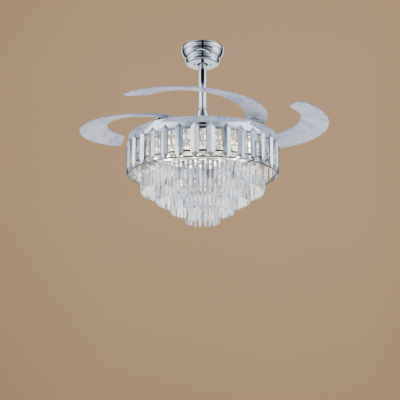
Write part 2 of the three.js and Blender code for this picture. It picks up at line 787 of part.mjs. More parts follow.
/** Chrome root bracket: toothed disc, hub round the pivot pin, and a saddle under the blade. */
function bladeArm() {
  const pitch = 360 / gears.sectorTeeth;
  const meshAngle = 180 - blade.openAngle;
  const [first, last] = [-1, Math.ceil(blade.openAngle / pitch)];
  const corners = [];
  for (let k = first; k <= last; k++) {
    corners.push(...toothPoints(radians(meshAngle + (k + 0.5) * pitch), gears.sectorTeeth));
  }
  const plainFrom = meshAngle + (last + 1.2) * pitch;
  const plain = 360 - (last - first + 1.4) * pitch;
  for (let k = 0; k <= 10; k++) corners.push(polar(arm.discR, plainFrom + (plain * k) / 10).toArray());
  const outline = new THREE.Shape(corners.map(([x, y]) => new THREE.Vector2(x, y)));
  const travelled = [-blade.openAngle, 0];
  outline.holes.push(arcSlot(rotor.bumperRadius, 2 * (rotor.bumperR + 2 * turningGap), ...travelled));
  let body = solid(plate(outline, gearBottom, gearTop, 3));

  const underBlade = -blade.thickness / 2 - gap;
  const shares = [arm.saddleInset / 66, 0.5, 1 - arm.saddleInset / 66];
  const behind = (w) => -arm.saddleBehind * Math.sqrt(Math.max(0, 1 - (2 * w - 1) ** 2)) - 1;
  const grid = stripGrid(shares, behind, () => arm.saddleAhead, 3);
  body = body.add(solid(bladeSheet(grid, underBlade - arm.saddle, underBlade)));
  const hubTop = bladePoint(0, (arm.hubR + 33) / 66, underBlade - arm.saddle / 2).z;
  body = body.add(solid(disc(arm.hubR, gearBottom, hubTop + 2, 12)));
  const overHub = stripGrid([0, 1], () => -9, () => 12, 2);
  body = body.subtract(solid(bladeSheet(overHub, underBlade, 40)));
  body = body.subtract(bladeSlab(-blade.thickness / 2 - facetGap, 40));
  body = body.subtract(solid(disc(rotor.pinR + turningGap, gearBottom - 1, 60, 10)));
  body = body.subtract(solid(disc(rotor.pinHeadR + 2 * turningGap, gearTop, 60, 10)));
  for (const [ahead, across] of screwPlaces) {
    body = body.subtract(solid(screwHole(arm.screwR + gap, ahead, across, 12, 8)));
  }
  return geometryOf(body);
}

/** The chrome strip over the blade's root, with the three screws that go down through it. */
function bladeClamp() {
  const onBlade = blade.thickness / 2 + gap;
  const shares = [arm.clampInset / 66, 0.5, 1 - arm.clampInset / 66];
  const grid = stripGrid(shares, () => -1.5, () => 18.5, 2);
  let body = solid(bladeSheet(grid, onBlade, onBlade + arm.clamp));
  body = body.subtract(bladeSlab(-40, blade.thickness / 2 + facetGap));
  for (const [ahead, across] of screwPlaces) {
    const lift = onBlade + arm.clamp;
    body = body.add(solid(screwHole(arm.screwR, ahead, across, 5, lift)));
    const head = screwHole(arm.screwHeadR, ahead, across, 0.6 - lift, lift + arm.screwHead);
    body = body.add(solid(head));
  }
  return geometryOf(body);
}

// ---------------------------------------------------------------- drum and light

/** The chrome drum band: a rolled strip with a narrow lip in at the top and the pan's lip below. */
function drumBand() {
  const { radius, height, wall, lip, lipThickness } = drum;
  return revolved([
    [radius, -height], [radius, -1.2], [radius - 1.2, 0], [radius - lip / 2, 0],
    [radius - wall, -lipThickness], [radius - wall, -height + lipThickness],
    [radius - wall - lip, -height + lipThickness], [radius - wall - lip, -height],
  ], bandSides);
}

function lightPan() {
  const outer = drum.radius - drum.wall - gap;
  return ring(motor.shaftR + gap, outer, panBottom, panTop, bandSides / 2);
}

function shaftNut() {
  const top = panBottom - gap - light.plate - gap;
  const hex = new THREE.Shape();
  for (let k = 0; k < 6; k++) {
    const a = (Math.PI / 3) * k;
    if (k === 0) hex.moveTo(light.nutR, 0);
    else hex.lineTo(light.nutR * Math.cos(a), light.nutR * Math.sin(a));
  }
  hex.holes.push(roundHole(0, 0, motor.shaftR + gap, 16));
  return plate(hex, top - light.nut, top);
}

/** The opal dish under the LED board. */
function diffuser() {
  const [outer, t] = [light.boardR + 2 + light.diffuserWall, light.diffuserWall];
  const top = panBottom - gap;
  const bottom = top - light.diffuserHeight;
  return revolved([
    [0, bottom], [outer - 9, bottom], [outer, bottom + 9], [outer, top],
    [outer - t, top], [outer - t, bottom + 9], [outer - 9 - t / 2, bottom + t], [0, bottom + t],
  ], 22);
}

// ---------------------------------------------------------------- crystals

/** A long drop, pointed at both ends, flat behind, with a ridge down its face. */
function outerCrystal() {
  const { width, edge, ridge, point, shoulder, lowerShoulder, lowerPoint } = outerCrystals;
  const half = width / 2;
  const outline = [
    [0, point], [half, shoulder], [half, lowerShoulder],
    [0, lowerPoint], [-half, lowerShoulder], [-half, shoulder],
  ];
  const back = outline.map(([y, z]) => new THREE.Vector3(0, y, z));
  const front = outline.filter(([y]) => y !== 0).map(([y, z]) => new THREE.Vector3(edge, y, z));
  const spine = [shoulder + 4, lowerShoulder - 4].map((z) => new THREE.Vector3(ridge, 0, z));
  return new ConvexGeometry([...back, ...front, ...spine]);
}

/** The outer row: drops in front of the band on a thin rail round its lower edge. */
function outerRow() {
  const { count, rail, railHeight } = outerCrystals;
  const bottom = -drum.height;
  const flat = drum.radius + gap + 0.1; // the rail's flats, one behind each drop
  const corner = flat / Math.cos(Math.PI / count);
  let body = solid(ring(corner, corner + rail, bottom, bottom + railHeight, count));
  const drop = solid(outerCrystal().translate(flat, 0, 0));
  body = body.rotate([0, 0, -90]);
  for (let i = 0; i < count; i++) {
    body = body.add(drop.rotate([0, 0, (360 / count) * (i + 0.5) - 90]));
  }
  return geometryOf(body);
}

/** A row of three-sided prisms, flat side out, hung under a flat ring, as one surface. */
function hungRow({ count, width, depth, outerR, top, under, bottom }) {
  const pitch = (2 * Math.PI) / count;
  const halfAngle = Math.asin(width / 2 / outerR);
  const section = [[outerR, -halfAngle], [outerR, halfAngle], [outerR - depth, 0]];
  const vertices = [];
  const level = (z) => {
    const first = vertices.length / 3;
    for (let i = 0; i < count; i++) {
      for (const [r, turn] of section) {
        const a = pitch * i + turn - Math.PI / 2;
        vertices.push(r * Math.cos(a), r * Math.sin(a), z);
      }
    }
    return (i, k) => first + 3 * (i % count) + k;
  };
  const [high, middle, low] = [level(top), level(under), level(bottom)];
  const index = [];
  const quad = (a, b, c, d) => index.push(a, b, c, a, c, d);
  for (let i = 0; i < count; i++) {
    const next = i + 1;
    index.push(high(i, 0), high(i, 1), high(i, 2), low(i, 0), low(i, 2), low(i, 1));
    quad(high(i, 1), high(next, 0), high(next, 2), high(i, 2));
    quad(middle(i, 1), middle(i, 2), middle(next, 2), middle(next, 0));
    quad(middle(i, 0), middle(i, 1), high(i, 1), high(i, 0));
    quad(middle(i, 1), middle(next, 0), high(next, 0), high(i, 1));
    quad(middle(next, 2), middle(i, 2), high(i, 2), high(next, 2));
    for (let k = 0; k < 3; k++) {
      const l = (k + 1) % 3;
      quad(low(i, k), low(i, l), middle(i, l), middle(i, k));
    }
  }
  const g = new THREE.BufferGeometry();
  g.setAttribute('position', new THREE.Float32BufferAttribute(vertices, 3));
  g.setIndex(index);
  g.computeVertexNormals();
  return g;
}

/** The row behind: bars that fill the spaces, hung under the drum's lip. */
function setBackRow() {
  const { width, depth, inset, bottom, railHeight } = setBackCrystals;
  const top = -drum.height - gap;
  const outerR = drum.radius - inset;
  const { count } = outerCrystals;
  return hungRow({ count, width, depth, outerR, top, under: top - railHeight, bottom });
}

/** The plain chrome ring that the outer rows hang against, on thin rods from the drum's lip. */
function lowerGuard() {
  const { top, height, wall, inset, rods, rodR } = guardRing;
  const outer = drum.radius - inset;
  const sides = Math.max(28, 4 * Math.ceil(outer / 35)); // flats short enough to meet the rods
  let body = solid(ring(outer - wall, outer, top - height, top, sides));
  for (let i = 0; i < rods; i++) {
    const rodPost = disc(rodR, top - 2, -drum.height - gap, 6).translate(outer - wall / 2, 0, 0);
    body = body.add(solid(rodPost).rotate([0, 0, (360 / rods) * i - 90 + 180 / outerCrystals.count]));
  }
  return geometryOf(body);
}

const tierRadius = (tier) => tiers.outerR - tiers.step * tier;
const tierRailTop = (tier) => tiers.firstRailZ - tiers.drop * tier;
const tierCount = (tier) => Math.round((2 * Math.PI * tierRadius(tier)) / tiers.pitch);
const tierInnerR = (tier) =>
  (tierRadius(tier) - tiers.prismDepth / 2) * Math.cos(Math.PI / tierCount(tier));

/** A tier: one prism to each pitch of its circle. */
function crystalTier(tier) {
  const { prismDepth: depth, prismWidth: width, prismLength, railHeight } = tiers;
  const count = tierCount(tier);
  const outerR = tierRadius(tier) + depth / 2;
  const top = tierRailTop(tier);
  const bottom = top - prismLength;
  return hungRow({ count, width, depth, outerR, top, under: top - railHeight, bottom });
}

/** The stepped frame: ribs that go down and in past each tier's hanging ring to a centre hub. */
function tierFrame() {
  const { count, ribWidth: w, ribThickness, ribs, hubR, railHeight } = tiers;
  const outerEdge = [];
  for (let tier = 0; tier < count; tier++) {
    const edge = tierInnerR(tier) - gap;
    const tread = tierRailTop(tier) - railHeight - gap;
    outerEdge.push([edge, tier === 0 ? panBottom - gap : tierRailTop(tier - 1) - railHeight - gap]);
    outerEdge.push([edge, tread]);
  }
  const top = outerEdge[0][1];
  const corners = [[outerEdge[0][0], top]];
  outerEdge.forEach(([r, z], i) => {
    if (i > 0) corners.push([r, z - (i % 2 === 1 ? w : 0) - (i % 2 === 0 ? w : 0)]);
  });
  const hubBottom = corners[corners.length - 1][1];
  const back = [...outerEdge].reverse().map(([r, z], i, all) => {
    return i === all.length - 1 ? [r - w, top] : [r - w, z];
  });
  const outline = new THREE.Shape(
    [...corners, [0, hubBottom], [0, hubBottom + w], ...back].map(([r, z]) => new THREE.Vector2(r, z)),
  );
  const rib = plate(outline, -ribThickness / 2, ribThickness / 2).rotateX(Math.PI / 2);
  let body = solid(disc(hubR, hubBottom, hubBottom + w, 18));
  for (let i = 0; i < ribs; i++) body = body.add(solid(rib).rotate([0, 0, (360 / ribs) * i]));
  return geometryOf(body);
}

// ---------------------------------------------------------------- assembly

const fan = new THREE.Group();
const drumZ = -hanger.dropToDrum;

part(fan, 'ceiling_bracket', ceilingBracket(), 'steel');
part(fan, 'canopy', geometryOf(canopyWithScrewHoles()), 'chrome');
for (const [name, side] of [['canopy_screw_1', -1], ['canopy_screw_2', 1]]) {
  part(fan, name, canopyScrew(), 'chrome').position.x = side * canopy.screwOffset;
}
const { length, width, height: boxHeight, corner } = hanger.receiver;
const boxTop = -hanger.plate - gap;
const receiver = plate(roundedRectangle(width, length, corner), boxTop - boxHeight, boxTop, 2);
part(fan, 'receiver_box', receiver, 'whitePlastic');

const ball = new THREE.Group();
ball.position.z = ballCentre;
fan.add(ball);
part(ball, 'hanger_ball', hangerBall(), 'nylon');
part(ball, 'hanger_pin', hangerPin(), 'steel');

const body = new THREE.Group();
body.position.z = drumZ;
fan.add(body);
const rodTop = ballCentre - drumZ + rod.topAboveBall;
const rodPinZ = ballCentre - drumZ;
part(body, 'downrod', downrod(rodTop, coupling.rodEnd, rodPinZ, coupling.boltZ), 'chrome');
part(body, 'coupling_collar', couplingCollar(), 'steel');
part(body, 'coupling_bolt', couplingBolt(), 'steel');
part(body, 'coupling_cup', couplingCup(), 'chrome');

const shaftBottom = panBottom - light.plate - light.nut - 3;
const shaftTop = coupling.rodEnd - 1;
part(body, 'motor_shaft', ring(motor.shaftBoreR, motor.shaftR, shaftBottom, shaftTop, 16), 'steel');
const statorBottom = motor.statorCentre - motor.statorHeight / 2;
const statorTop = motor.statorCentre + motor.statorHeight / 2;
part(body, 'stator_core', statorCore(statorBottom, statorTop), 'lamination');
part(body, 'stator_windings', windings(statorBottom, statorTop), 'copper');
part(body, 'motor_top_cover', topCover(), 'chrome');
part(body, 'motor_bottom_cover', bottomCover(), 'aluminium');
const magnetInnerR = magnetOuterR - motor.magnet;
const magnetRing = ring(magnetInnerR, magnetOuterR, statorBottom - 3, statorTop + 3, motorSides);
part(body, 'rotor_magnets', magnetRing, 'magnet');
const upperBearing = motor.top - motor.wall - gap - motor.bearingWidth;
part(body, 'upper_bearing', bearing(upperBearing), 'steel');
part(body, 'lower_bearing', bearing(motor.bottom + motor.wall + gap), 'steel');
part(body, 'blade_carrier', bladeCarrier(), 'chrome');
part(body, 'synchro_ring', synchroRing(), 'steel');

const springGap = leastSelfGap(springPath(), rotor.spring.wire);
console.log('fold spring, least gap to itself:', springGap.toFixed(2), 'mm');
for (let b = 0; b < blade.count; b++) {
  const angle = radians(blade.firstPivotAngle + (360 / blade.count) * b);
  const place = new THREE.Vector3(pivotR * Math.cos(angle), pivotR * Math.sin(angle), 0);
  const fixed = new THREE.Group();
  fixed.position.copy(place);
  fixed.rotation.z = angle;
  body.add(fixed);
  part(fixed, `pivot_pin_${b + 1}`, pivotPin(), 'steel');
  part(fixed, `stop_bumper_${b + 1}`, stopBumper(), 'rubber');
  part(fixed, `fold_spring_${b + 1}`, foldSpring(), 'steel');
  const folding = new THREE.Group();
  folding.position.copy(place);
  folding.rotation.z = angle + radians(blade.openAngle);
  body.add(folding);
  part(folding, `blade_arm_${b + 1}`, bladeArm(), 'chrome');
  part(folding, `blade_${b + 1}`, bladeBody(), 'acrylic');
  part(folding, `blade_clamp_${b + 1}`, bladeClamp(), 'chrome');
}

part(body, 'drum_band', drumBand(), 'chrome');
part(body, 'light_pan', lightPan(), 'chrome');
const plateTopZ = panBottom - gap;
const mountPlate = ring(motor.shaftR + gap, light.plateR, plateTopZ - light.plate, plateTopZ, 16);
part(body, 'light_mount_plate', mountPlate, 'steel');
part(body, 'shaft_nut', shaftNut(), 'steel');
const box = light.driver;
const driverBottom = panTop + gap;
const driverShape = roundedRectangle(box.length, box.width, box.corner);
const driver = plate(driverShape, driverBottom, driverBottom + box.height, 2);
part(body, 'led_driver', driver, 'whitePlastic').position.y = box.radius;
const ledTop = panBottom - gap;
const ledBoard = ring(light.plateR + 6, light.boardR, ledTop - light.board, ledTop, 20);
part(body, 'led_board', ledBoard, 'board');
part(body, 'light_diffuser', diffuser(), 'opal');
part(body, 'outer_crystals', outerRow(), 'crystal');
part(body, 'set_back_crystals', setBackRow(), 'crystal');
part(body, 'crystal_guard_ring', lowerGuard(), 'chrome');
part(body, 'tier_frame', tierFrame(), 'chrome');
for (let tier = 0; tier < tiers.count; tier++) {
  part(body, `crystal_tier_${tier + 2}`, crystalTier(tier), 'crystal');
}

export default fan;
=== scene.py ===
"""Looks for a ceiling fan: folding clear blades over a chrome drum with a stepped crystal light.

Lengths in the classes are millimetres in the drum's own frame (z is 0 at the drum's top edge),
and are turned to metres in the part's frame when a mesh is made.
"""

from __future__ import annotations

import logging
import math
from collections.abc import Sequence
from dataclasses import dataclass, field
from enum import Enum
from functools import lru_cache

import bmesh
import bpy
from mathutils import Matrix, Vector

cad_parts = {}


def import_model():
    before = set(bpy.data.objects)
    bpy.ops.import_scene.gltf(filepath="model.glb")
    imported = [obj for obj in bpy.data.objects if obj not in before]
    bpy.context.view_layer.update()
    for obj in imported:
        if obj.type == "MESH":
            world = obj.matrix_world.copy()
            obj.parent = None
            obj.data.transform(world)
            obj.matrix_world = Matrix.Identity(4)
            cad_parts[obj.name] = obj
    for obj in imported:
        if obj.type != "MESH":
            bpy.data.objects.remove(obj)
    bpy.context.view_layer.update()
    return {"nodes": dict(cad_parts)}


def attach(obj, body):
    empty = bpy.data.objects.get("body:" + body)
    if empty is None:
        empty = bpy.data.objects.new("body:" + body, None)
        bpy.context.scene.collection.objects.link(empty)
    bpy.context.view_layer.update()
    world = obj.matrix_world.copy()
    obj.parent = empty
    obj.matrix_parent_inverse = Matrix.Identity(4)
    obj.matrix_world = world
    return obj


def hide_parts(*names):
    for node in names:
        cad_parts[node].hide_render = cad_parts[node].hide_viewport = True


LOG = logging.getLogger("fan")
MM = 0.001
DRUM_Z = -326.0
BALL_R = 27.0
BALL_SEAT_R = 22.0
BALL_SEAT_Z = -50.0
BALL_Z = BALL_SEAT_Z + math.sqrt(BALL_R**2 - BALL_SEAT_R**2) + 0.3
NEAR_ZERO = 1e-6
CREASE = 32.0
FINE_CREASE = 24.0
# a noise pattern's values lie mostly between these
PATTERN_LOW = 0.3
PATTERN_HIGH = 0.7

Profile = Sequence[tuple[float, float]]
Corner = tuple[float, float, float]
Stops = Sequence[tuple[float, Corner]]


class Body(Enum):
    """The rigid bodies that new pieces ride on."""

    CEILING = "ceiling"
    HANGING = "hanging"
    ROTOR = "rotor"
    BLADE_1 = "folding_blade_1"
    BLADE_2 = "folding_blade_2"
    BLADE_3 = "folding_blade_3"
    BLADE_4 = "folding_blade_4"


class Slot(Enum):
    """The record's material slots, named with each new piece but not used."""

    STEEL = "steel"
    CHROME = "chrome"
    BAND_CHROME = "band_chrome"
    ALUMINIUM = "aluminium"
    NYLON = "nylon"
    CLEAR_BLADE = "clear_blade"
    CRYSTAL = "crystal"
    OPAL = "opal"


# ---------------------------------------------------------------- finishes


def fill_ramp(ramp: bpy.types.ShaderNode, stops: Stops) -> None:
    """Gives a colour ramp its colours.

    Args:
        ramp: The colour ramp's node.
        stops: Places from 0 to 1 in rising order, and the colour at each.
    """
    elements = ramp.color_ramp.elements
    while len(elements) < len(stops):
        elements.new(0.5)
    for element, (position, colour) in zip(elements, stops):
        element.position = position
        element.color = (*colour, 1.0)


class Sketch:
    """A node material while it is being put together."""

    def __init__(self, name: str) -> None:
        """Starts a material with its principled shader.

        Args:
            name: The material's name.
        """
        self.material = bpy.data.materials.new(name)
        self.material.use_nodes = True
        self.tree = self.material.node_tree
        self.shader = next(n for n in self.tree.nodes if n.type == "BSDF_PRINCIPLED")
        self.place = self.tree.nodes.new("ShaderNodeTexCoord").outputs["Object"]

    def set(self, **values: float) -> None:
        """Sets the shader's own sockets.

        Args:
            values: A value for each socket; an underscore in a name stands for a space.
        """
        for key, value in values.items():
            self.shader.inputs[key.replace("_", " ")].default_value = value

    def stretched(self, scale: Corner) -> bpy.types.NodeSocket:
        """The object's coordinates, stretched.

        Args:
            scale: The factor along each axis.

        Returns:
            The socket with the stretched place.
        """
        node = self.tree.nodes.new("ShaderNodeMapping")
        node.inputs["Scale"].default_value = scale
        self.tree.links.new(self.place, node.inputs["Vector"])
        return node.outputs["Vector"]

    def noise(
        self,
        scale: float,
        detail: float = 3.0,
        place: bpy.types.NodeSocket | None = None,
        twist: float = 0.0,
    ) -> bpy.types.NodeSocket:
        """A noise pattern in the object's own coordinates.

        Args:
            scale: Patches to a metre.
            detail: Octaves of finer noise.
            place: Other coordinates, if any.
            twist: How far the pattern is drawn out of shape.

        Returns:
            The socket with the pattern's value.
        """
        node = self.tree.nodes.new("ShaderNodeTexNoise")
        node.inputs["Scale"].default_value = scale
        node.inputs["Detail"].default_value = detail
        node.inputs["Distortion"].default_value = twist
        self.tree.links.new(place or self.place, node.inputs["Vector"])
        return node.outputs["Fac"]

    def spread(self, value: bpy.types.NodeSocket, low: float, high: float, socket: str) -> None:
        """Drives a shader socket between two values by a pattern.

        Args:
            value: The pattern.
            low: What the socket gets where the pattern is low.
            high: What it gets where the pattern is high.
            socket: The shader socket's name.
        """
        node = self.tree.nodes.new("ShaderNodeMapRange")
        node.inputs["From Min"].default_value = PATTERN_LOW
        node.inputs["From Max"].default_value = PATTERN_HIGH
        node.inputs["To Min"].default_value = low
        node.inputs["To Max"].default_value = high
        self.tree.links.new(value, node.inputs["Value"])
        self.tree.links.new(node.outputs["Result"], self.shader.inputs[socket])

    def shades(
        self, value: bpy.types.NodeSocket, stops: Stops, sockets: Sequence[str] = ("Base Color",)
    ) -> None:
        """Gives colour sockets a run of colours by a pattern.

        Args:
            value: The pattern.
            stops: Pattern values in rising order, and the colour at each.
            sockets: Which of the shader's sockets take the colour.
        """
        ramp = self.tree.nodes.new("ShaderNodeValToRGB")
        fill_ramp(ramp, stops)
        self.tree.links.new(value, ramp.inputs["Fac"])
        for socket in sockets:
            self.tree.links.new(ramp.outputs["Color"], self.shader.inputs[socket])

    def tint(
        self,
        value: bpy.types.NodeSocket,
        first: Corner,
        second: Corner,
        span: tuple[float, float] = (PATTERN_LOW, PATTERN_HIGH),
    ) -> None:
        """Blends the base colour between two colours by a pattern.

        Args:
            value: The pattern.
            first: The colour where the pattern is low.
            second: The colour where it is high.
            span: The pattern values between which the colours blend.
        """
        self.shades(value, ((span[0], first), (span[1], second)))

    def bump(self, value: bpy.types.NodeSocket, depth_mm: float, strength: float = 0.5) -> None:
        """Raises the surface by a pattern.

        Args:
            value: The pattern.
            depth_mm: How high it rises.
            strength: The share of it that shows.
        """
        node = self.tree.nodes.new("ShaderNodeBump")
        node.inputs["Distance"].default_value = depth_mm * MM
        node.inputs["Strength"].default_value = strength
        self.tree.links.new(value, node.inputs["Height"])
        self.tree.links.new(node.outputs["Normal"], self.shader.inputs["Normal"])


@dataclass(frozen=True)
class Chrome:
    """Chrome plate, polished or brushed, with faint wiping marks."""

    name: str = "polished_chrome"
    tint: Corner = (0.80, 0.84, 0.90)
    dull: Corner = (0.70, 0.74, 0.81)
    smoothest: float = 0.03
    roughest: float = 0.11
    metallic: float = 1.0
    marks: float = 14.0
    mark_detail: float = 5.0
    mark_twist: float = 0.8
    mark_stretch: Corner = (1.0, 1.0, 4.0)

    @lru_cache
    def material(self) -> bpy.types.Material:
        """Makes the finish as a material, once.

        Returns:
            The material.
        """
        sketch = Sketch(self.name)
        sketch.set(Metallic=self.metallic)
        place = sketch.stretched(self.mark_stretch)
        marks = sketch.noise(self.marks, self.mark_detail, place, self.mark_twist)
        sketch.tint(marks, self.tint, self.dull)
        sketch.spread(marks, self.smoothest, self.roughest, "Roughness")
        return sketch.material


@dataclass(frozen=True)
class Steel:
    """Zinc-plated or turned steel with fine working marks."""

    name: str = "plated_steel"
    tint: Corner = (0.56, 0.58, 0.60)
    dull: Corner = (0.40, 0.41, 0.43)
    roughness: float = 0.32
    grain: Corner = (1.0, 1.0, 30.0)
    grain_scale: float = 90.0
    grain_depth_mm: float = 0.02
    cloud_scale: float = 26.0
    detail: float = 4.0
    smoother: float = 0.08
    rougher: float = 0.12

    @lru_cache
    def material(self) -> bpy.types.Material:
        """Makes the finish as a material, once.

        Returns:
            The material.
        """
        sketch = Sketch(self.name)
        sketch.set(Metallic=1.0)
        marks = sketch.noise(self.grain_scale, self.detail, sketch.stretched(self.grain))
        sketch.tint(sketch.noise(self.cloud_scale, self.detail), self.tint, self.dull)
        low, high = self.roughness - self.smoother, self.roughness + self.rougher
        sketch.spread(marks, low, high, "Roughness")
        sketch.bump(marks, self.grain_depth_mm, strength=0.25)
        return sketch.material


@dataclass(frozen=True)
class Moulded:
    """Moulded plastic or rubber with a fine texture."""

    name: str
    tint: Corner
    shade: Corner
    roughness: float = 0.42
    texture_mm: float = 0.03
    texture_scale: float = 1400.0
    cloud_scale: float = 30.0
    smoother: float = 0.06
    rougher: float = 0.08

    @lru_cache
    def material(self) -> bpy.types.Material:
        """Makes the finish as a material, once.

        Returns:
            The material.
        """
        sketch = Sketch(self.name)
        fine = sketch.noise(self.texture_scale, detail=2.0)
        sketch.tint(sketch.noise(self.cloud_scale), self.tint, self.shade)
        low, high = self.roughness - self.smoother, self.roughness + self.rougher
        sketch.spread(fine, low, high, "Roughness")
        sketch.bump(fine, self.texture_mm, strength=0.35)
        return sketch.material


@dataclass(frozen=True)
class Banded:
    """Metal in fine level layers, such as stacked laminations or laid wire."""

    name: str
    tint: Corner
    groove: Corner
    pitch_mm: float
    metallic: float = 0.9
    roughness: float = 0.4
    groove_mm: float = 0.15
    waver: float = 0.3
    smudges: float = 60.0
    smoother: float = 0.08
    rougher: float = 0.1

    @lru_cache
    def material(self) -> bpy.types.Material:
        """Makes the finish as a material, once.

        Returns:
            The material.
        """
        sketch = Sketch(self.name)
        sketch.set(Metallic=self.metallic)
        wave = sketch.tree.nodes.new("ShaderNodeTexWave")
        wave.bands_direction = "Z"
        # a wave texture at scale 1 repeats about every 0.31 m
        wave.inputs["Scale"].default_value = 0.31 / (self.pitch_mm * MM)
        wave.inputs["Distortion"].default_value = self.waver
        sketch.tree.links.new(sketch.place, wave.inputs["Vector"])
        layers = wave.outputs["Fac"]
        sketch.tint(layers, self.groove, self.tint)
        low, high = self.roughness - self.smoother, self.roughness + self.rougher
        sketch.spread(sketch.noise(self.smudges), low, high, "Roughness")
        sketch.bump(layers, self.groove_mm)
        return sketch.material


@dataclass(frozen=True)
class BladeAcrylic:
    """Clear acrylic with a faint violet cast, cloudy in long swirls with thin veins."""

    name: str = "blade_acrylic"
    clear: Corner = (0.76, 0.80, 1.0)
    cloud: Corner = (0.88, 0.91, 1.0)
    vein: Corner = (1.0, 1.0, 1.0)
    shadow: Corner = (0.40, 0.45, 0.70)
    transmission: float = 0.34
    ior: float = 1.49
    swirls: float = 5.5
    swirl_twist: float = 2.6
    waves: float = 16.0
    wave_mm: float = 0.2
    smoothest: float = 0.14
    roughest: float = 0.30

    @lru_cache
    def material(self) -> bpy.types.Material:
        """Makes the finish as a material, once.

        Returns:
            The material.
        """
        sketch = Sketch(self.name)
        sketch.set(Transmission_Weight=self.transmission, IOR=self.ior, Specular_IOR_Level=0.5)
        swirls = sketch.noise(self.swirls, detail=4.0, twist=self.swirl_twist)
        sketch.shades(swirls, (
            (0.34, self.clear), (0.43, self.cloud), (0.455, self.vein), (0.47, self.cloud),
            (0.545, self.clear), (0.56, self.shadow), (0.575, self.clear), (0.66, self.cloud),
        ))
        sketch.spread(swirls, self.smoothest, self.roughest, "Roughness")
        waves = sketch.noise(self.waves, detail=2.0, twist=1.5)
        sketch.bump(waves, self.wave_mm, strength=0.15)
        return sketch.material


@dataclass(frozen=True)
class BladeEdge:
    """The polished edge of the acrylic, where its blue cast gathers."""

    name: str = "blade_edge"
    light: Corner = (0.34, 0.41, 0.72)
    dark: Corner = (0.16, 0.20, 0.46)
    transmission: float = 0.25
    ior: float = 1.49
    patches: float = 40.0
    smoothest: float = 0.08
    roughest: float = 0.2

    @lru_cache
    def material(self) -> bpy.types.Material:
        """Makes the finish as a material, once.

        Returns:
            The material.
        """
        sketch = Sketch(self.name)
        sketch.set(Transmission_Weight=self.transmission, IOR=self.ior)
        along = sketch.noise(self.patches)
        sketch.tint(along, self.dark, self.light)
        sketch.spread(along, self.smoothest, self.roughest, "Roughness")
        return sketch.material


@dataclass(frozen=True)
class CutCrystal:
    """Cut glass with painted light in its colour: dark reflections, cool and white glints and cream
    lamp glow, from place to place.
    """

    name: str = "prism_crystal"
    dark: Corner = (0.22, 0.25, 0.30)
    cool: Corner = (0.66, 0.76, 0.94)
    white: Corner = (1.0, 1.0, 1.0)
    cream: Corner = (1.0, 0.93, 0.76)
    transmission: float = 0.62
    metallic: float = 0.22
    ior: float = 1.58
    patches: float = 75.0
    upright: float = 0.3
    smudges: float = 60.0
    roughest: float = 0.03

    @lru_cache
    def material(self) -> bpy.types.Material:
        """Makes the finish as a material, once.

        Returns:
            The material.
        """
        sketch = Sketch(self.name)
        sketch.set(Transmission_Weight=self.transmission, IOR=self.ior, Metallic=self.metallic)
        place = sketch.stretched((1.0, 1.0, self.upright))
        cast = sketch.noise(self.patches, detail=2.0, place=place)
        # painted light: the dark, cool, white and cream patches stand in for reflections, glints
        # and the lamp's glow in the glass
        sketch.shades(cast, (
            (0.34, self.dark), (0.43, self.cool), (0.49, self.white), (0.58, self.white),
            (0.66, self.cream),
        ))
        sketch.spread(sketch.noise(self.smudges), 0.0, self.roughest, "Roughness")
        return sketch.material


@dataclass(frozen=True)
class CrystalEdge:
    """The narrow ground edges of a crystal, in patches of painted shade and painted light, dark or
    bright as they would catch the light.
    """

    name: str = "crystal_edge"
    dark: Corner = (0.03, 0.035, 0.045)
    light: Corner = (0.30, 0.34, 0.40)
    transmission: float = 0.15
    ior: float = 1.52
    patches: float = 70.0
    smoothest: float = 0.02
    roughest: float = 0.1

    @lru_cache
    def material(self) -> bpy.types.Material:
        """Makes the finish as a material, once.

        Returns:
            The material.
        """
        sketch = Sketch(self.name)
        sketch.set(Transmission_Weight=self.transmission, IOR=self.ior, Specular_IOR_Level=0.8)
        along = sketch.noise(self.patches, detail=2.0)
        # painted shade and light: near-black and pale patches along the edges
        sketch.tint(along, self.dark, self.light, span=(0.4, 0.6))
        sketch.spread(along, self.smoothest, self.roughest, "Roughness")
        return sketch.material


@dataclass(frozen=True)
class LitOpal:
    """The opal dish, lit from behind, brighter under each lamp."""

    name: str = "lit_opal"
    glow: Corner = (1.0, 0.93, 0.80)
    between: Corner = (0.07, 0.06, 0.045)
    strength: float = 15.0
    lamps: float = 34.0

    @lru_cache
    def material(self) -> bpy.types.Material:
        """Makes the finish as a material, once.

        Returns:
            The material.
        """
        sketch = Sketch(self.name)
        sketch.set(Roughness=0.5, Transmission_Weight=0.1, Emission_Strength=self.strength)
        spots = sketch.tree.nodes.new("ShaderNodeTexVoronoi")
        spots.inputs["Scale"].default_value = self.lamps
        sketch.tree.links.new(sketch.place, spots.inputs["Vector"])
        stops = ((0.0, self.glow), (0.5, self.between))
        sketch.shades(spots.outputs["Distance"], stops, ("Emission Color", "Base Color"))
        return sketch.material


CHROME = Chrome()
SATIN_CHROME = Chrome("satin_chrome", (0.74, 0.77, 0.82), (0.62, 0.65, 0.70), 0.12, 0.24)
# brushed chrome with a tint lighter than the polished chrome's: the brushing is real, the lighter
# tint is painted light for the shaded arms
LIGHTENED_BRUSHED_CHROME = Chrome("brushed_chrome_painted_light", (0.88, 0.90, 0.96), (0.76, 0.79, 0.86), 0.20, 0.34, 0.5)
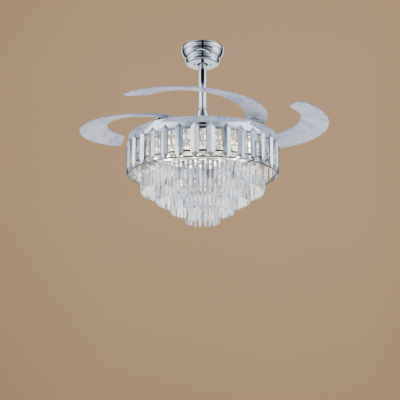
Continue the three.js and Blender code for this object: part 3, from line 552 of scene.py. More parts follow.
# chrome darkened far below real chrome: painted shade that keeps the guard rings dark
SHADED_RING_CHROME = Chrome("ring_chrome_painted_shade", (0.22, 0.23, 0.25), (0.12, 0.12, 0.13), 0.10, 0.22)
STEEL = Steel()
TURNED = Steel("turned_steel", (0.64, 0.65, 0.67), (0.50, 0.51, 0.53), 0.24, (1.0, 1.0, 60.0))
ALUMINIUM = Steel("cast_aluminium", (0.70, 0.71, 0.73), (0.58, 0.59, 0.61), 0.44, (1.0, 1.0, 1.0))
NYLON = Moulded("dark_nylon", (0.035, 0.036, 0.04), (0.05, 0.051, 0.055))
WHITE_PLASTIC = Moulded("white_plastic", (0.80, 0.81, 0.80), (0.74, 0.75, 0.74), 0.36)
RUBBER = Moulded("black_rubber", (0.018, 0.018, 0.019), (0.03, 0.03, 0.031), 0.75, 0.06)
SOLDER_MASK = Moulded("white_board", (0.84, 0.84, 0.80), (0.78, 0.78, 0.75), 0.45)
LAMINATIONS = Banded("laminations", (0.30, 0.31, 0.33), (0.12, 0.12, 0.13), 0.5)
COPPER = Banded("enamelled_copper", (0.62, 0.27, 0.12), (0.30, 0.11, 0.05), 0.8, 1.0, 0.3)
MAGNET = Moulded("sintered_magnet", (0.10, 0.10, 0.11), (0.14, 0.14, 0.15), 0.55, 0.05)
PALE_FLOOR = Moulded("pale_floor", (0.66, 0.58, 0.49), (0.64, 0.56, 0.47), 0.7)
ACRYLIC = BladeAcrylic()
ACRYLIC_EDGE = BladeEdge()
CRYSTAL = CutCrystal()
# painted light on the drops: blue-grey reflections, dark patches and pale glints in their colour
DROP_CRYSTAL = CutCrystal(
    "drop_crystal", dark=(0.30, 0.34, 0.41), cool=(0.58, 0.66, 0.80), white=(0.92, 0.96, 1.0),
    cream=(0.86, 0.92, 1.0), transmission=0.45, metallic=0.72, patches=26.0, upright=0.12,
)
# painted light on the bars: white and cream glow of the lamp behind them in their colour
BAR_CRYSTAL = CutCrystal(
    "bar_crystal", dark=(0.45, 0.47, 0.50), cool=(0.85, 0.90, 1.0), white=(1.0, 1.0, 0.97),
    cream=(1.0, 0.95, 0.82), transmission=0.85, metallic=0.1, ior=1.52, patches=60.0, upright=0.5,
)
CRYSTAL_EDGE = CrystalEdge()
OPAL = LitOpal()

Metal = Chrome | Steel | Banded
Clear = BladeAcrylic | BladeEdge | CutCrystal | CrystalEdge | LitOpal
Finish = Metal | Moulded | Clear


# ---------------------------------------------------------------- mesh making


def new_object(
    name: str, mesh: bpy.types.Mesh, crease_degrees: float = CREASE
) -> bpy.types.Object:
    """Makes a smooth-shaded object that keeps the edges sharper than an angle.

    Args:
        name: The piece's name.
        mesh: Its mesh, in metres.
        crease_degrees: Edges sharper than this stay creased.

    Returns:
        The object, in the scene.
    """
    tidy = bmesh.new()
    tidy.from_mesh(mesh)
    bmesh.ops.recalc_face_normals(tidy, faces=tidy.faces)
    tidy.to_mesh(mesh)
    tidy.free()
    mesh.shade_smooth()
    mesh.set_sharp_from_angle(angle=math.radians(crease_degrees))
    piece = bpy.data.objects.new(name, mesh)
    bpy.context.scene.collection.objects.link(piece)
    return piece


def from_points(
    name: str,
    points: Sequence[Corner],
    faces: Sequence[Sequence[int]],
    crease: float = CREASE,
) -> bpy.types.Object:
    """Makes an object from points in the drum's frame.

    Args:
        name: The piece's name.
        points: Corners in millimetres.
        faces: Corner numbers of each face.
        crease: Edges sharper than this many degrees stay creased.

    Returns:
        The object, in metres in the part's frame.
    """
    mesh = bpy.data.meshes.new(name)
    mesh.from_pydata([(x * MM, y * MM, (z + DRUM_Z) * MM) for x, y, z in points], [], faces)
    return new_object(name, mesh, crease)


def turned(
    name: str, profile: Profile, sides: int = 96, crease: float = CREASE
) -> bpy.types.Object:
    """Turns a closed outline round the fan's axis.

    Args:
        name: The piece's name.
        profile: [radius, height] corners of the outline; a radius of 0 lies on the axis.
        sides: Steps round the axis.
        crease: Edges sharper than this many degrees stay creased.

    Returns:
        The turned object.
    """
    points: list[Corner] = []
    rings: list[list[int]] = []
    for radius, height in profile:
        if radius < NEAR_ZERO:
            rings.append([len(points)] * sides)
            points.append((0.0, 0.0, height))
            continue
        rings.append(list(range(len(points), len(points) + sides)))
        for k in range(sides):
            angle = 2 * math.pi * k / sides
            points.append((radius * math.cos(angle), radius * math.sin(angle), height))
    faces: list[list[int]] = []
    for first, second in zip(rings, rings[1:] + rings[:1]):
        for k in range(sides):
            after = (k + 1) % sides
            face = list(dict.fromkeys((first[k], first[after], second[after], second[k])))
            if len(face) > 2:
                faces.append(face)
    return from_points(name, points, faces, crease)


def rounded(
    profile: Profile, radius: float, steps: int = 4, most: float = 0.45
) -> list[tuple[float, float]]:
    """Rounds the corners of a closed outline.

    Args:
        profile: The outline's corners.
        radius: The length of each side that a rounding takes.
        steps: Points to a corner.
        most: The largest share of a side that it takes.

    Returns:
        The rounded outline.
    """
    result: list[tuple[float, float]] = []
    count = len(profile)
    for i, here in enumerate(profile):
        corner = Vector(here)
        before = Vector(profile[i - 1]) - corner
        after = Vector(profile[(i + 1) % count]) - corner
        if min(here[0], before.length, after.length) < NEAR_ZERO:
            result.append((here[0], here[1]))
            continue
        reach = min(radius, before.length * most, after.length * most)
        start = corner + before.normalized() * reach
        end = corner + after.normalized() * reach
        for k in range(steps + 1):
            t = k / steps
            point = start * (1 - t) ** 2 + corner * (2 * t * (1 - t)) + end * t**2
            result.append((point.x, point.y))
    return result


def flowing(points: Profile, steps: int = 6) -> list[tuple[float, float]]:
    """A smooth open line through points.

    Args:
        points: What the line passes through.
        steps: Points between each two.

    Returns:
        The line's points, ends included.
    """
    ends = [Vector(point) for point in (points[0], *points, points[-1])]
    line: list[tuple[float, float]] = []
    for a, b, c, d in zip(ends, ends[1:], ends[2:], ends[3:]):
        for k in range(steps):
            t = k / steps
            bend = (2 * a - 5 * b + 4 * c - d) * t**2 + (3 * b - a - 3 * c + d) * t**3
            line.append(tuple((2 * b + (c - a) * t + bend) / 2))
    line.append((points[-1][0], points[-1][1]))
    return line


def bevelled(
    piece: bpy.types.Object, width_mm: float, steps: int = 2, angle: float = 35.0
) -> bpy.types.Object:
    """Breaks a piece's sharp edges.

    Args:
        piece: The piece.
        width_mm: Width of the broken edge.
        steps: Faces across it.
        angle: Edges sharper than this are broken.

    Returns:
        The same piece.
    """
    edge = piece.modifiers.new("broken_edges", "BEVEL")
    edge.width = width_mm * MM
    edge.segments = steps
    edge.limit_method = "ANGLE"
    edge.angle_limit = math.radians(angle)
    edge.use_clamp_overlap = True
    edge.harden_normals = True
    return piece


def cut(piece: bpy.types.Object, cutters: Sequence[bpy.types.Object]) -> bpy.types.Object:
    """Cuts pieces out of a piece and removes the cutters.

    Args:
        piece: What is cut.
        cutters: What is taken away.

    Returns:
        The same piece.
    """
    for cutter in cutters:
        step = piece.modifiers.new("cut", "BOOLEAN")
        step.operation = "DIFFERENCE"
        step.solver = "EXACT"
        step.object = cutter
    graph = bpy.context.evaluated_depsgraph_get()
    mesh = bpy.data.meshes.new_from_object(piece.evaluated_get(graph))
    piece.modifiers.clear()
    piece.data = mesh
    mesh.shade_smooth()
    mesh.set_sharp_from_angle(angle=math.radians(CREASE))
    for cutter in cutters:
        bpy.data.objects.remove(cutter)
    return piece


def merged(name: str, pieces: Sequence[bpy.types.Object]) -> bpy.types.Object:
    """Joins several objects' meshes into one object.

    Args:
        name: The new object's name.
        pieces: What goes in; they are removed.

    Returns:
        The joined object.
    """
    whole = bmesh.new()
    for piece in pieces:
        moved = piece.data.copy()
        moved.transform(piece.matrix_world)
        whole.from_mesh(moved)
        bpy.data.meshes.remove(moved)
    mesh = bpy.data.meshes.new(name)
    whole.to_mesh(mesh)
    whole.free()
    for piece in pieces:
        bpy.data.objects.remove(piece)
    return new_object(name, mesh)


def round_bar(
    name: str, radius: float, start: Corner, end: Corner, sides: int = 20
) -> bpy.types.Object:
    """A round bar between two points of the drum's frame.

    Args:
        name: The bar's name.
        radius: Its radius.
        start: The middle of its first end.
        end: The middle of its other end.
        sides: Steps round it.

    Returns:
        The bar.
    """
    axis = Vector(end) - Vector(start)
    turn = axis.to_track_quat("Z", "Y").to_matrix()
    points: list[Corner] = []
    for along in (0.0, axis.length):
        for k in range(sides):
            angle = 2 * math.pi * k / sides
            local = Vector((radius * math.cos(angle), radius * math.sin(angle), along))
            points.append(tuple(Vector(start) + turn @ local))
    faces: list[Sequence[int]] = [
        (k, (k + 1) % sides, sides + (k + 1) % sides, sides + k) for k in range(sides)
    ]
    faces += [list(range(sides)), list(range(sides, 2 * sides))]
    return from_points(name, points, faces)


@dataclass
class SubAssembly:
    """Some pieces of the fan that are built and dressed together."""

    nodes: dict[str, bpy.types.Object]
    made: list[str] = field(default_factory=list)

    def keep(self, node: str, finish: Finish, edge_mm: float = 0.0) -> None:
        """Dresses a CAD node that stays as it is.

        Args:
            node: The node's name.
            finish: What it is finished in.
            edge_mm: Width of its broken edges, or 0.
        """
        piece = self.nodes[node]
        piece.data.materials.clear()
        piece.data.materials.append(finish.material())
        if edge_mm:
            bevelled(piece, edge_mm)
        self.made.append(node)

    def fit(
        self,
        piece: bpy.types.Object,
        body: Body,
        finish: Finish,
        slot: Slot,
        stands_for: Sequence[str] = (),
    ) -> None:
        """Dresses a new piece and hangs it on its body.

        Args:
            piece: The piece, in place.
            body: The body it rides on.
            finish: What it is finished in.
            slot: The record's material slot; not used.
            stands_for: The CAD nodes it replaces.
        """
        if not piece.data.materials:
            piece.data.materials.append(finish.material())
        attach(piece, body.value)
        if stands_for:
            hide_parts(*stands_for)
        self.made.append(piece.name)

    def report(self) -> None:
        """Logs the pieces."""
        LOG.info("%s: %s", type(self).__name__, ", ".join(self.made))


@dataclass(frozen=True)
class PanHeadScrew:
    """A cross-recessed pan-head screw, head up, with the head's underside at z 0."""

    head_r: float
    head: float
    shank_r: float
    shank: float
    sides: int = 28
    dome: Profile = ((1.0, 0.3), (0.86, 0.8), (0.4, 1.0))
    crown: float = 1.02
    recess_reach: float = 0.55
    recess_half: float = 0.11
    recess_floor: float = 0.45
    above: float = 1.6

    def mesh(self, name: str) -> bpy.types.Mesh:
        """Makes the screw's mesh.

        Args:
            name: The mesh's name.

        Returns:
            The mesh, in metres about its own origin.
        """
        r, h = self.head_r, self.head
        top = flowing([(r * out, h * up) for out, up in self.dome], steps=4)
        profile = [
            (0.0, -self.shank), (self.shank_r, -self.shank), (self.shank_r, 0.0), (r, 0.0),
            *top, (0.0, h * self.crown),
        ]
        screw = turned(name, [(radius, z - DRUM_Z) for radius, z in profile], self.sides)
        reach, half = r * self.recess_reach, r * self.recess_half
        bars = [self.recess_bar(f"{name}_recess", x, y) for x, y in ((reach, half), (half, reach))]
        cut(screw, bars)
        mesh = screw.data
        bpy.data.objects.remove(screw)
        return mesh

    def recess_bar(self, name: str, x: float, y: float) -> bpy.types.Object:
        """Makes one bar of the cross that is cut out of the head.

        Args:
            name: The bar's name.
            x: Half its size along x.
            y: Half its size along y.

        Returns:
            The bar.
        """
        signs = ((-1, -1), (1, -1), (1, 1), (-1, 1))
        corners = [
            (sx * x, sy * y, z - DRUM_Z)
            for z in (self.head * self.recess_floor, self.head * self.above)
            for sx, sy in signs
        ]
        faces = [(0, 1, 2, 3), (4, 5, 6, 7), (0, 1, 5, 4), (1, 2, 6, 5), (2, 3, 7, 6), (3, 0, 4, 7)]
        return from_points(name, corners, faces)


def placed(name: str, mesh: bpy.types.Mesh, place: Matrix) -> bpy.types.Object:
    """Puts a copy of a mesh in the scene.

    Args:
        name: The piece's name.
        mesh: What is copied.
        place: Where it goes, in metres in the part's frame.

    Returns:
        The new object, its place in its mesh.
    """
    piece = bpy.data.objects.new(name, mesh.copy())
    bpy.context.scene.collection.objects.link(piece)
    piece.data.transform(place)
    return piece


# ---------------------------------------------------------------- ceiling hanger


@dataclass
class CeilingHanger(SubAssembly):
    """The bracket, the receiver and the spun canopy with its two screws."""

    height: float = 63.0
    wall: float = 1.2
    sides: int = 112
    foot_r: float = 50.0
    rod_hole_r: float = 19.0
    rod_hole_break: tuple[float, float] = (0.8, 0.6)
    screw_offset: float = 27.0
    screw_hole_r: float = 2.3
    screw_gap: float = 0.3
    screw: PanHeadScrew = PanHeadScrew(4.1, 1.9, 2.0, 12.8)
    outside: Profile = (
        (70.5, -1.0), (72.3, -4.0), (73.0, -10.0), (71.8, -19.0), (68.5, -28.0), (64.0, -36.0),
        (60.6, -40.5),
    )
    bead: Profile = (
        (58.8, -42.8), (58.7, -45.2), (59.4, -47.2), (58.6, -52.0), (56.6, -57.5), (54.0, -61.6),
        (50.5, -63.0),
    )

    def build(self) -> None:
        """Builds and dresses the hanger."""
        self.keep("ceiling_bracket", STEEL, edge_mm=0.4)
        self.keep("receiver_box", WHITE_PLASTIC, edge_mm=0.8)
        self.canopy()
        self.screws()

    def canopy(self) -> None:
        """Makes the spun bell, with its holes for the rod and the screws."""
        raised = flowing(self.outside, steps=5) + flowing(self.bead, steps=4)
        raised = [(r, z - DRUM_Z) for r, z in raised]
        floor = -self.height - DRUM_Z
        inset, lift = self.rod_hole_break
        underside = [
            (self.foot_r, floor), (self.rod_hole_r + inset, floor),
            (self.rod_hole_r, floor + lift), (self.rod_hole_r, floor + self.wall),
        ]
        inside = [(r - self.wall, max(z, floor + self.wall)) for r, z in reversed(raised)]
        outline = [*raised, *underside, *inside]
        shell = turned("canopy_bell", outline, self.sides, FINE_CREASE)
        under, over = floor - 2, floor + 3
        holes = [
            round_bar("hole", self.screw_hole_r, (x, 0, under), (x, 0, over))
            for x in (-self.screw_offset, self.screw_offset)
        ]
        self.fit(cut(shell, holes), Body.CEILING, CHROME, Slot.CHROME, ["canopy"])

    def screws(self) -> None:
        """Makes the two screws under the canopy."""
        mesh = self.screw.mesh("canopy_screw")
        head_down = Matrix.Rotation(math.pi, 4, "X")
        for number, x in ((1, -self.screw_offset), (2, self.screw_offset)):
            place = Vector((x, 0.0, -self.height - self.screw_gap)) * MM
            moved = Matrix.Translation(place) @ head_down
            screw = placed(f"canopy_pan_screw_{number}", mesh, moved)
            self.fit(screw, Body.CEILING, CHROME, Slot.CHROME, [f"canopy_screw_{number}"])


@dataclass
class Downrod(SubAssembly):
    """The ball in the bracket, the rod, and the coupling under its cup."""

    sides: int = 72
    ball_r: float = BALL_R
    ball_below: float = 20.0
    ball_above: float = 9.0
    ball_steps: int = 20
    rod_r: float = 13.35
    bore_r: float = 10.8
    rod_end: float = 64.0
    rod_above_ball: float = 12.0
    play: float = 0.3
    pin_hole_r: float = 3.3
    bolt_z: float = 74.0
    mouth: float = 49.5
    cup_top: float = 102.0
    cup_wall: float = 1.2
    cup_neck_r: float = 15.0
    cup_flare: float = 19.0
    cup_solid_points: int = 6
    flare: Profile = (
        (0.0, 1.0), (0.1, 0.985), (0.25, 0.88), (0.45, 0.66), (0.65, 0.44), (0.85, 0.24),
        (0.95, 0.1), (1.0, 0.0),
    )

    def build(self) -> None:
        """Builds and dresses the rod and what is on it."""
        centre = BALL_Z - DRUM_Z
        self.ball(centre)
        self.keep("hanger_pin", STEEL, edge_mm=0.4)
        self.rod(centre)
        self.keep("coupling_collar", STEEL, edge_mm=0.4)
        self.keep("coupling_bolt", STEEL, edge_mm=0.4)
        self.cup()

    def cross_hole(self, reach: float, height: float) -> bpy.types.Object:
        """Makes a cutter for a hole across the axis.

        Args:
            reach: How far it goes to each side.
            height: Its height.

        Returns:
            The cutter.
        """
        return round_bar("hole", self.pin_hole_r, (-reach, 0, height), (reach, 0, height))

    def ball(self, centre: float) -> None:
        """Makes the ball, cut flat at its top and bottom.

        Args:
            centre: Height of its middle.
        """
        low = -math.asin(self.ball_below / self.ball_r)
        high = math.asin(self.ball_above / self.ball_r)
        arc = [low + (high - low) * k / self.ball_steps for k in range(self.ball_steps + 1)]
        outline = [
            (self.ball_r * math.cos(a), centre + self.ball_r * math.sin(a)) for a in arc
        ]
        bore = self.rod_r + self.play
        outline = [(bore, outline[0][1]), *outline, (bore, outline[-1][1])]
        ball = turned("ball", outline, self.sides)
        cut(ball, [self.cross_hole(reach=30, height=centre)])
        self.fit(ball, Body.HANGING, NYLON, Slot.NYLON, ["hanger_ball"])

    def rod(self, centre: float) -> None:
        """Makes the rod's tube, with its cross holes for the pin and the bolt.

        Args:
            centre: Height of the ball's middle.
        """
        top = centre + self.rod_above_ball
        tube = rounded([
            (self.bore_r, self.rod_end), (self.rod_r, self.rod_end), (self.rod_r, top),
            (self.bore_r, top),
        ], radius=0.5, steps=3)
        rod = turned("rod_tube", tube, self.sides)
        cut(rod, [self.cross_hole(reach=20, height=z) for z in (centre, self.bolt_z)])
        self.fit(rod, Body.HANGING, CHROME, Slot.CHROME, ["downrod"])

    def cup(self) -> None:
        """Makes the spun cup over the coupling, flared to a rolled lip."""
        rise = self.cup_top - self.mouth
        outside = flowing([
            (self.cup_neck_r + self.cup_flare * out, self.mouth + rise * up)
            for up, out in self.flare
        ], steps=5)
        bore = self.rod_r + self.play
        hollow = reversed(outside[:-self.cup_solid_points])
        inside = [(max(bore, r - self.cup_wall), z) for r, z in hollow]
        outline = [*outside, (bore, self.cup_top), (bore, inside[0][1]), *inside]
        cup = turned("coupling_bell", outline, self.sides, FINE_CREASE)
        self.fit(cup, Body.HANGING, CHROME, Slot.CHROME, ["coupling_cup"])


# ---------------------------------------------------------------- motor and blades


@dataclass(frozen=True)
class MotorCover:
    """One of the motor's two covers.

    The hub and flange are the heights of its hub's face and its flange's near face; up is 1 for
    the upper cover and -1 for the lower.
    """

    name: str
    node: str
    hub: float
    flange: float
    up: float
    finish: Finish
    slot: Slot


@dataclass
class Motor(SubAssembly):
    """The outrunner motor: turning covers over a fixed shaft and stator."""

    radius: float = 88.0
    wall: float = 3.0
    flange_r: float = 100.0
    shaft_hole_r: float = 10.5
    bearing_r: float = 20.3
    boss_r: float = 24.0
    boss_depth: float = 12.0
    hub_r: float = 40.0
    shoulder: float = 5.0
    shoulder_drop: float = 3.6
    side_drop: float = 8.0
    inner_shoulder_drop: float = 6.6
    inner_side_drop: float = 8.5
    screw_count: int = 6
    screw_circle_r: float = 94.4
    first_screw_degrees: float = 21.5
    screw: PanHeadScrew = PanHeadScrew(3.3, 2.0, 1.4, 1.2)
    top: MotorCover = MotorCover(
        "motor_top_shell", "motor_top_cover", 46.0, 7.3, 1.0, SATIN_CHROME, Slot.CHROME
    )
    lower: MotorCover = MotorCover(
        "motor_lower_shell", "motor_bottom_cover", -26.0, 3.7, -1.0, ALUMINIUM, Slot.ALUMINIUM
    )

    def build(self) -> None:
        """Builds and dresses the motor."""
        self.keep("motor_shaft", TURNED)
        self.keep("stator_core", LAMINATIONS)
        self.keep("stator_windings", COPPER)
        self.keep("rotor_magnets", MAGNET)
        self.keep("upper_bearing", TURNED)
        self.keep("lower_bearing", TURNED)
        self.cover(self.top)
        self.cover_screws()
        self.cover(self.lower)

    def cover(self, cover: MotorCover) -> None:
        """Makes one cover: hub, shoulder, side and flange, with a boss for the bearing.

        Args:
            cover: Which cover.
        """
        hub, up = cover.hub, cover.up
        inner = self.radius - self.wall
        far = cover.flange + self.wall * up
        seat = hub - self.wall * up
        outline = rounded([
            (self.shaft_hole_r, hub), (self.hub_r, hub),
            (self.radius - self.shoulder, hub - self.shoulder_drop * up),
            (self.radius, hub - self.side_drop * up), (self.radius, far), (self.flange_r, far),
            (self.flange_r, cover.flange), (inner, cover.flange),
            (inner, hub - self.inner_side_drop * up),
            (inner - self.shoulder, hub - self.inner_shoulder_drop * up), (self.boss_r, seat),
            (self.boss_r, seat - self.boss_depth * up),
            (self.bearing_r, seat - self.boss_depth * up), (self.bearing_r, seat),
            (self.shaft_hole_r, seat),
        ], radius=1.6, steps=3)
        shell = turned(cover.name, outline, crease=28.0)
        self.fit(shell, Body.ROTOR, cover.finish, cover.slot, [cover.node])

    def cover_screws(self) -> None:
        """Makes the screws on the upper cover's flange."""
        mesh = self.screw.mesh("cover_screw")
        height = self.top.flange + self.wall + DRUM_Z
        for k in range(self.screw_count):
            angle = math.radians(360 * k / self.screw_count + self.first_screw_degrees)
            x, y = self.screw_circle_r * math.cos(angle), self.screw_circle_r * math.sin(angle)
            place = Matrix.Translation(Vector((x, y, height)) * MM)
            turn = Matrix.Rotation(angle, 4, "Z")
            screw = placed(f"cover_screw_{k + 1}", mesh, place @ turn)
            self.fit(screw, Body.ROTOR, STEEL, Slot.STEEL)


def wire(name: str, line: Sequence[Vector], radius: float, sides: int = 10) -> bpy.types.Object:
    """Makes round wire along a line.

    Args:
        name: The piece's name.
        line: The wire's middle line, in millimetres.
        radius: The wire's radius.
        sides: Steps round it.

    Returns:
        The wire, closed at its ends.
    """
    points: list[Corner] = []
    for i, centre in enumerate(line):
        ahead = (line[min(i + 1, len(line) - 1)] - line[max(i - 1, 0)]).normalized()
        side = ahead.cross(Vector((0, 0, 1))).normalized()
        up = side.cross(ahead)
        for k in range(sides):
            a = 2 * math.pi * k / sides
            points.append(tuple(centre + (side * math.cos(a) + up * math.sin(a)) * radius))
    faces: list[Sequence[int]] = []
    for i in range(len(line) - 1):
        here, ahead_of = i * sides, (i + 1) * sides
        for k in range(sides):
            after = (k + 1) % sides
            faces.append((here + k, here + after, ahead_of + after, ahead_of + k))
    faces += [list(range(sides)), list(range(len(points) - sides, len(points)))]
    return from_points(name, points, faces)


@dataclass
class BladeMechanism(SubAssembly):
    """The carrier with its ears, the gear ring, and each blade's pin, stop and spring."""

    pivot_r: float = 205.0
    first_angle: float = -38.5
    wire_r: float = 0.7
    spring_r: float = 8.0
    curls: float = 2.5
    curl_steps: int = 32
    pitch: float = 1.95
    leg: float = 6.0
    start_z: float = 7.3

    def build(self) -> None:
        """Builds and dresses the mechanism."""
        self.keep("blade_carrier", SATIN_CHROME, edge_mm=0.35)
        self.keep("synchro_ring", TURNED, edge_mm=0.2)
        for number in range(1, 5):
            self.keep(f"pivot_pin_{number}", TURNED, edge_mm=0.4)
            self.keep(f"stop_bumper_{number}", RUBBER, edge_mm=0.3)
            self.spring(number)

    def coil(self) -> list[Vector]:
        """The middle line of a return spring's wire, about its pin.

        Returns:
            The line: a leg, the curls, and the other leg.
        """
        low = self.start_z + self.wire_r
        line = [Vector((self.spring_r, -self.leg, low))]
        for k in range(int(self.curls * self.curl_steps) + 1):
            a = 2 * math.pi * k / self.curl_steps
            rise = low + self.pitch * k / self.curl_steps
            line.append(Vector((self.spring_r * math.cos(a), self.spring_r * math.sin(a), rise)))
        last = 2 * math.pi * self.curls
        line.append(line[-1] + Vector((-math.sin(last), math.cos(last), 0)) * self.leg)
        return line

    def spring(self, number: int) -> None:
        """Makes one wound return spring.

        Args:
            number: Which blade's spring it is.
        """
        turn = math.radians(self.first_angle + 90 * (number - 1))
        place = Vector((self.pivot_r * math.cos(turn), self.pivot_r * math.sin(turn), 0))
        about = Matrix.Rotation(turn, 3, "Z")
        line = [place + about @ point for point in self.coil()]
        piece = wire(f"return_spring_{number}", line, self.wire_r)
        self.fit(piece, Body.ROTOR, STEEL, Slot.STEEL, [f"fold_spring_{number}"])


@dataclass
class FoldingBlade(SubAssembly):
    """A curved clear blade with its chrome root, clamp strip and screws."""

    number: int = 1
    pivot_r: float = 205.0
    outer_r: float = 244.5
    open_angle: float = 51.0
    first_angle: float = -38.5
    thickness: float = 3.0
    root_round: float = 8.6
    root_overhang: float = 2.6
    inner_span: float = 152.0
    outer_span: float = 160.0
    tip_bulge: float = 2.5
    tip_round: float = 3.2
    tip_squareness: float = 8.0
    widest_at: float = 0.47
    widths: Corner = (64.5, 93.0, 84.5)
    root_taper: float = 2.1
    tip_taper: float = 1.5
    steady_rise: float = 1 / 7
    outer_rise: tuple[float, float] = (18.0, 28.0)
    inner_rise: tuple[float, float] = (33.0, 25.0)
    columns: int = 26
    rows: int = 84
    edge_round: float = 1.35
    strip_inset: float = 13.0 / 66.0
    strip_ends: tuple[float, float] = (-1.5, 18.5)
    strip_columns: int = 8
    strip_rows: int = 12
    strip_round: float = 1.2
    strip_squareness: float = 6.0
    strip_gap: float = 0.3
    strip_thickness: float = 2.0
    screw: PanHeadScrew = PanHeadScrew(4.0, 1.6, 2.0, 8.2)
    screw_places: Profile = ((2.0, 0.8), (13.0, 0.3), (15.0, 0.72))
    turn_by_screw: float = 37.0
    turn_by_blade: float = 20.0

    def build(self) -> None:
        """Builds and dresses the blade and what holds it."""
        # the arm's lighter chrome tint is painted light
        self.keep(f"blade_arm_{self.number}", LIGHTENED_BRUSHED_CHROME, edge_mm=0.3)
        self.blade()
        self.clamp()

    def body(self) -> Body:
        """The body that the blade is."""
        return Body(f"folding_blade_{self.number}")

    def section(self, ahead: float) -> tuple[float, float, float]:
        """The blade's width and the heights of its outer and inner edges.

        Args:
            ahead: Degrees ahead of the pivot.

        Returns:
            Width, outer height and inner height.
        """
        s = (ahead + self.root_overhang) / (self.outer_span + self.root_overhang)
        at_root, widest, at_tip = self.widths
        to_root = max(0.0, (self.widest_at - s) / self.widest_at) ** self.root_taper
        to_tip = max(0.0, (s - self.widest_at) / (1 - self.widest_at)) ** self.tip_taper
        width = widest - (widest - at_root) * to_root - (widest - at_tip) * to_tip
        rise = self.steady_rise * s + (1 - self.steady_rise) * s * s
        outer = self.outer_rise[0] + self.outer_rise[1] * rise
        inner = self.inner_rise[0] + self.inner_rise[1] * math.sin(math.pi / 2 * s)
        return width, outer, inner

    def point(self, ahead: float, across: float, lift: float) -> Corner:
        """A point of the open blade's surface in the drum's frame.

        Args:
            ahead: Degrees ahead of the pivot.
            across: 0 at the inner edge, 1 at the outer.
            lift: Height above the blade's middle.

        Returns:
            The point.
        """
        width, outer_z, inner_z = self.section(ahead)
        radius = self.outer_r - width * (1 - across)
        angle = math.radians(-ahead)
        flat = Vector((radius * math.cos(angle) - self.pivot_r, radius * math.sin(angle)))
        root = math.radians(self.first_angle + 90 * (self.number - 1))
        flat.rotate(Matrix.Rotation(root + math.radians(self.open_angle), 2))
        x = flat.x + self.pivot_r * math.cos(root)
        y = flat.y + self.pivot_r * math.sin(root)
        return x, y, inner_z + (outer_z - inner_z) * across + lift

    def sheet(
        self,
        name: str,
        shares: Sequence[float],
        ends: Sequence[tuple[float, float]],
        steps: int,
        lifts: tuple[float, float],
    ) -> bpy.types.Object:
        """A sheet that follows the blade's surface between two lifts.

        Args:
            name: The piece's name.
            shares: Places across the blade.
            ends: The first and last angle ahead, for each place across.
            steps: Steps along the blade.
            lifts: Heights of its two faces above the blade's middle.

        Returns:
            The sheet; its rim's faces take the second material.
        """
        columns = len(shares)
        layer = (steps + 1) * columns
        points = [
            self.point(first + (last - first) * i / steps, w, lift)
            for lift in lifts
            for i in range(steps + 1)
            for w, (first, last) in zip(shares, ends)
        ]
        faces: list[Sequence[int]] = []
        for i in range(steps):
            for j in range(columns - 1):
                a = i * columns + j
                for base in (a, a + layer):
                    faces.append((base, base + 1, base + columns + 1, base + columns))
        flat = len(faces)
        for i in range(steps):
            for j in (0, columns - 1):
                a = i * columns + j
                faces.append((a, a + columns, a + columns + layer, a + layer))
        for j in range(columns - 1):
            for i in (0, steps):
                a = i * columns + j
                faces.append((a, a + 1, a + 1 + layer, a + layer))
        piece = from_points(name, points, faces)
        for face in piece.data.polygons[flat:]:
            face.material_index = 1
        return piece

    def blade_ends(self, w: float) -> tuple[float, float]:
        """Where the blade starts and ends, its root and tip rounded.

        Args:
            w: The place across the blade.

        Returns:
            The first and last angle ahead.
        """
        root = -self.root_round * math.sqrt(max(0.0, 1 - (2 * w - 1) ** 2))
        span = self.inner_span + (self.outer_span - self.inner_span) * w
        tip = span + self.tip_bulge * math.sin(math.pi * w)
        return root, tip - self.tip_round * abs(2 * w - 1) ** self.tip_squareness

    def strip_end(self, w: float) -> tuple[float, float]:
        """Where the clamp strip starts and ends, its corners rounded.

        Args:
            w: The place across the blade.

        Returns:
            The first and last angle ahead.
        """
        aside = abs((w - 0.5) / (0.5 - self.strip_inset))
        drawn_in = self.strip_round * aside**self.strip_squareness
        first, last = self.strip_ends
        return first + drawn_in, last - drawn_in

    def blade(self) -> None:
        """Makes the clear blade, its corners rounded and its rim polished."""
        count = self.columns
        shares = [0.5 - 0.5 * math.cos(math.pi * k / count) for k in range(count + 1)]
        half = self.thickness / 2
        ends = [self.blade_ends(w) for w in shares]
        piece = self.sheet(f"clear_blade_{self.number}", shares, ends, self.rows, (-half, half))
        piece.data.materials.append(ACRYLIC.material())
        piece.data.materials.append(ACRYLIC_EDGE.material())
        bevelled(piece, self.edge_round, steps=3, angle=50.0)
        piece.modifiers["broken_edges"].material = 1
        self.fit(piece, self.body(), ACRYLIC, Slot.CLEAR_BLADE, [f"blade_{self.number}"])

    def clamp(self) -> None:
        """Makes the chrome strip over the root, and its three screws."""
        count, inset = self.strip_columns, self.strip_inset
        shares = [inset + (1 - 2 * inset) * k / count for k in range(count + 1)]
        low = self.thickness / 2 + self.strip_gap
        high = low + self.strip_thickness
        ends = [self.strip_end(w) for w in shares]
        name = f"clamp_strip_{self.number}"
        strip = self.sheet(name, shares, ends, self.strip_rows, (low, high))
        for face in strip.data.polygons:
            face.material_index = 0
        bevelled(strip, width_mm=0.5, angle=50.0)
        self.fit(strip, self.body(), CHROME, Slot.CHROME, [f"blade_clamp_{self.number}"])
        mesh = self.screw.mesh("clamp_screw")
        for k, (ahead, across) in enumerate(self.screw_places):
            x, y, z = self.point(ahead, across, high)
            place = Matrix.Translation(Vector((x, y, z + DRUM_Z)) * MM)
            degrees = self.turn_by_screw * k + self.turn_by_blade * self.number
            turn = Matrix.Rotation(math.radians(degrees), 4, "Z")
            screw = placed(f"clamp_screw_{self.number}_{k + 1}", mesh, place @ turn)
            self.fit(screw, self.body(), STEEL, Slot.CHROME)


# ---------------------------------------------------------------- drum and light


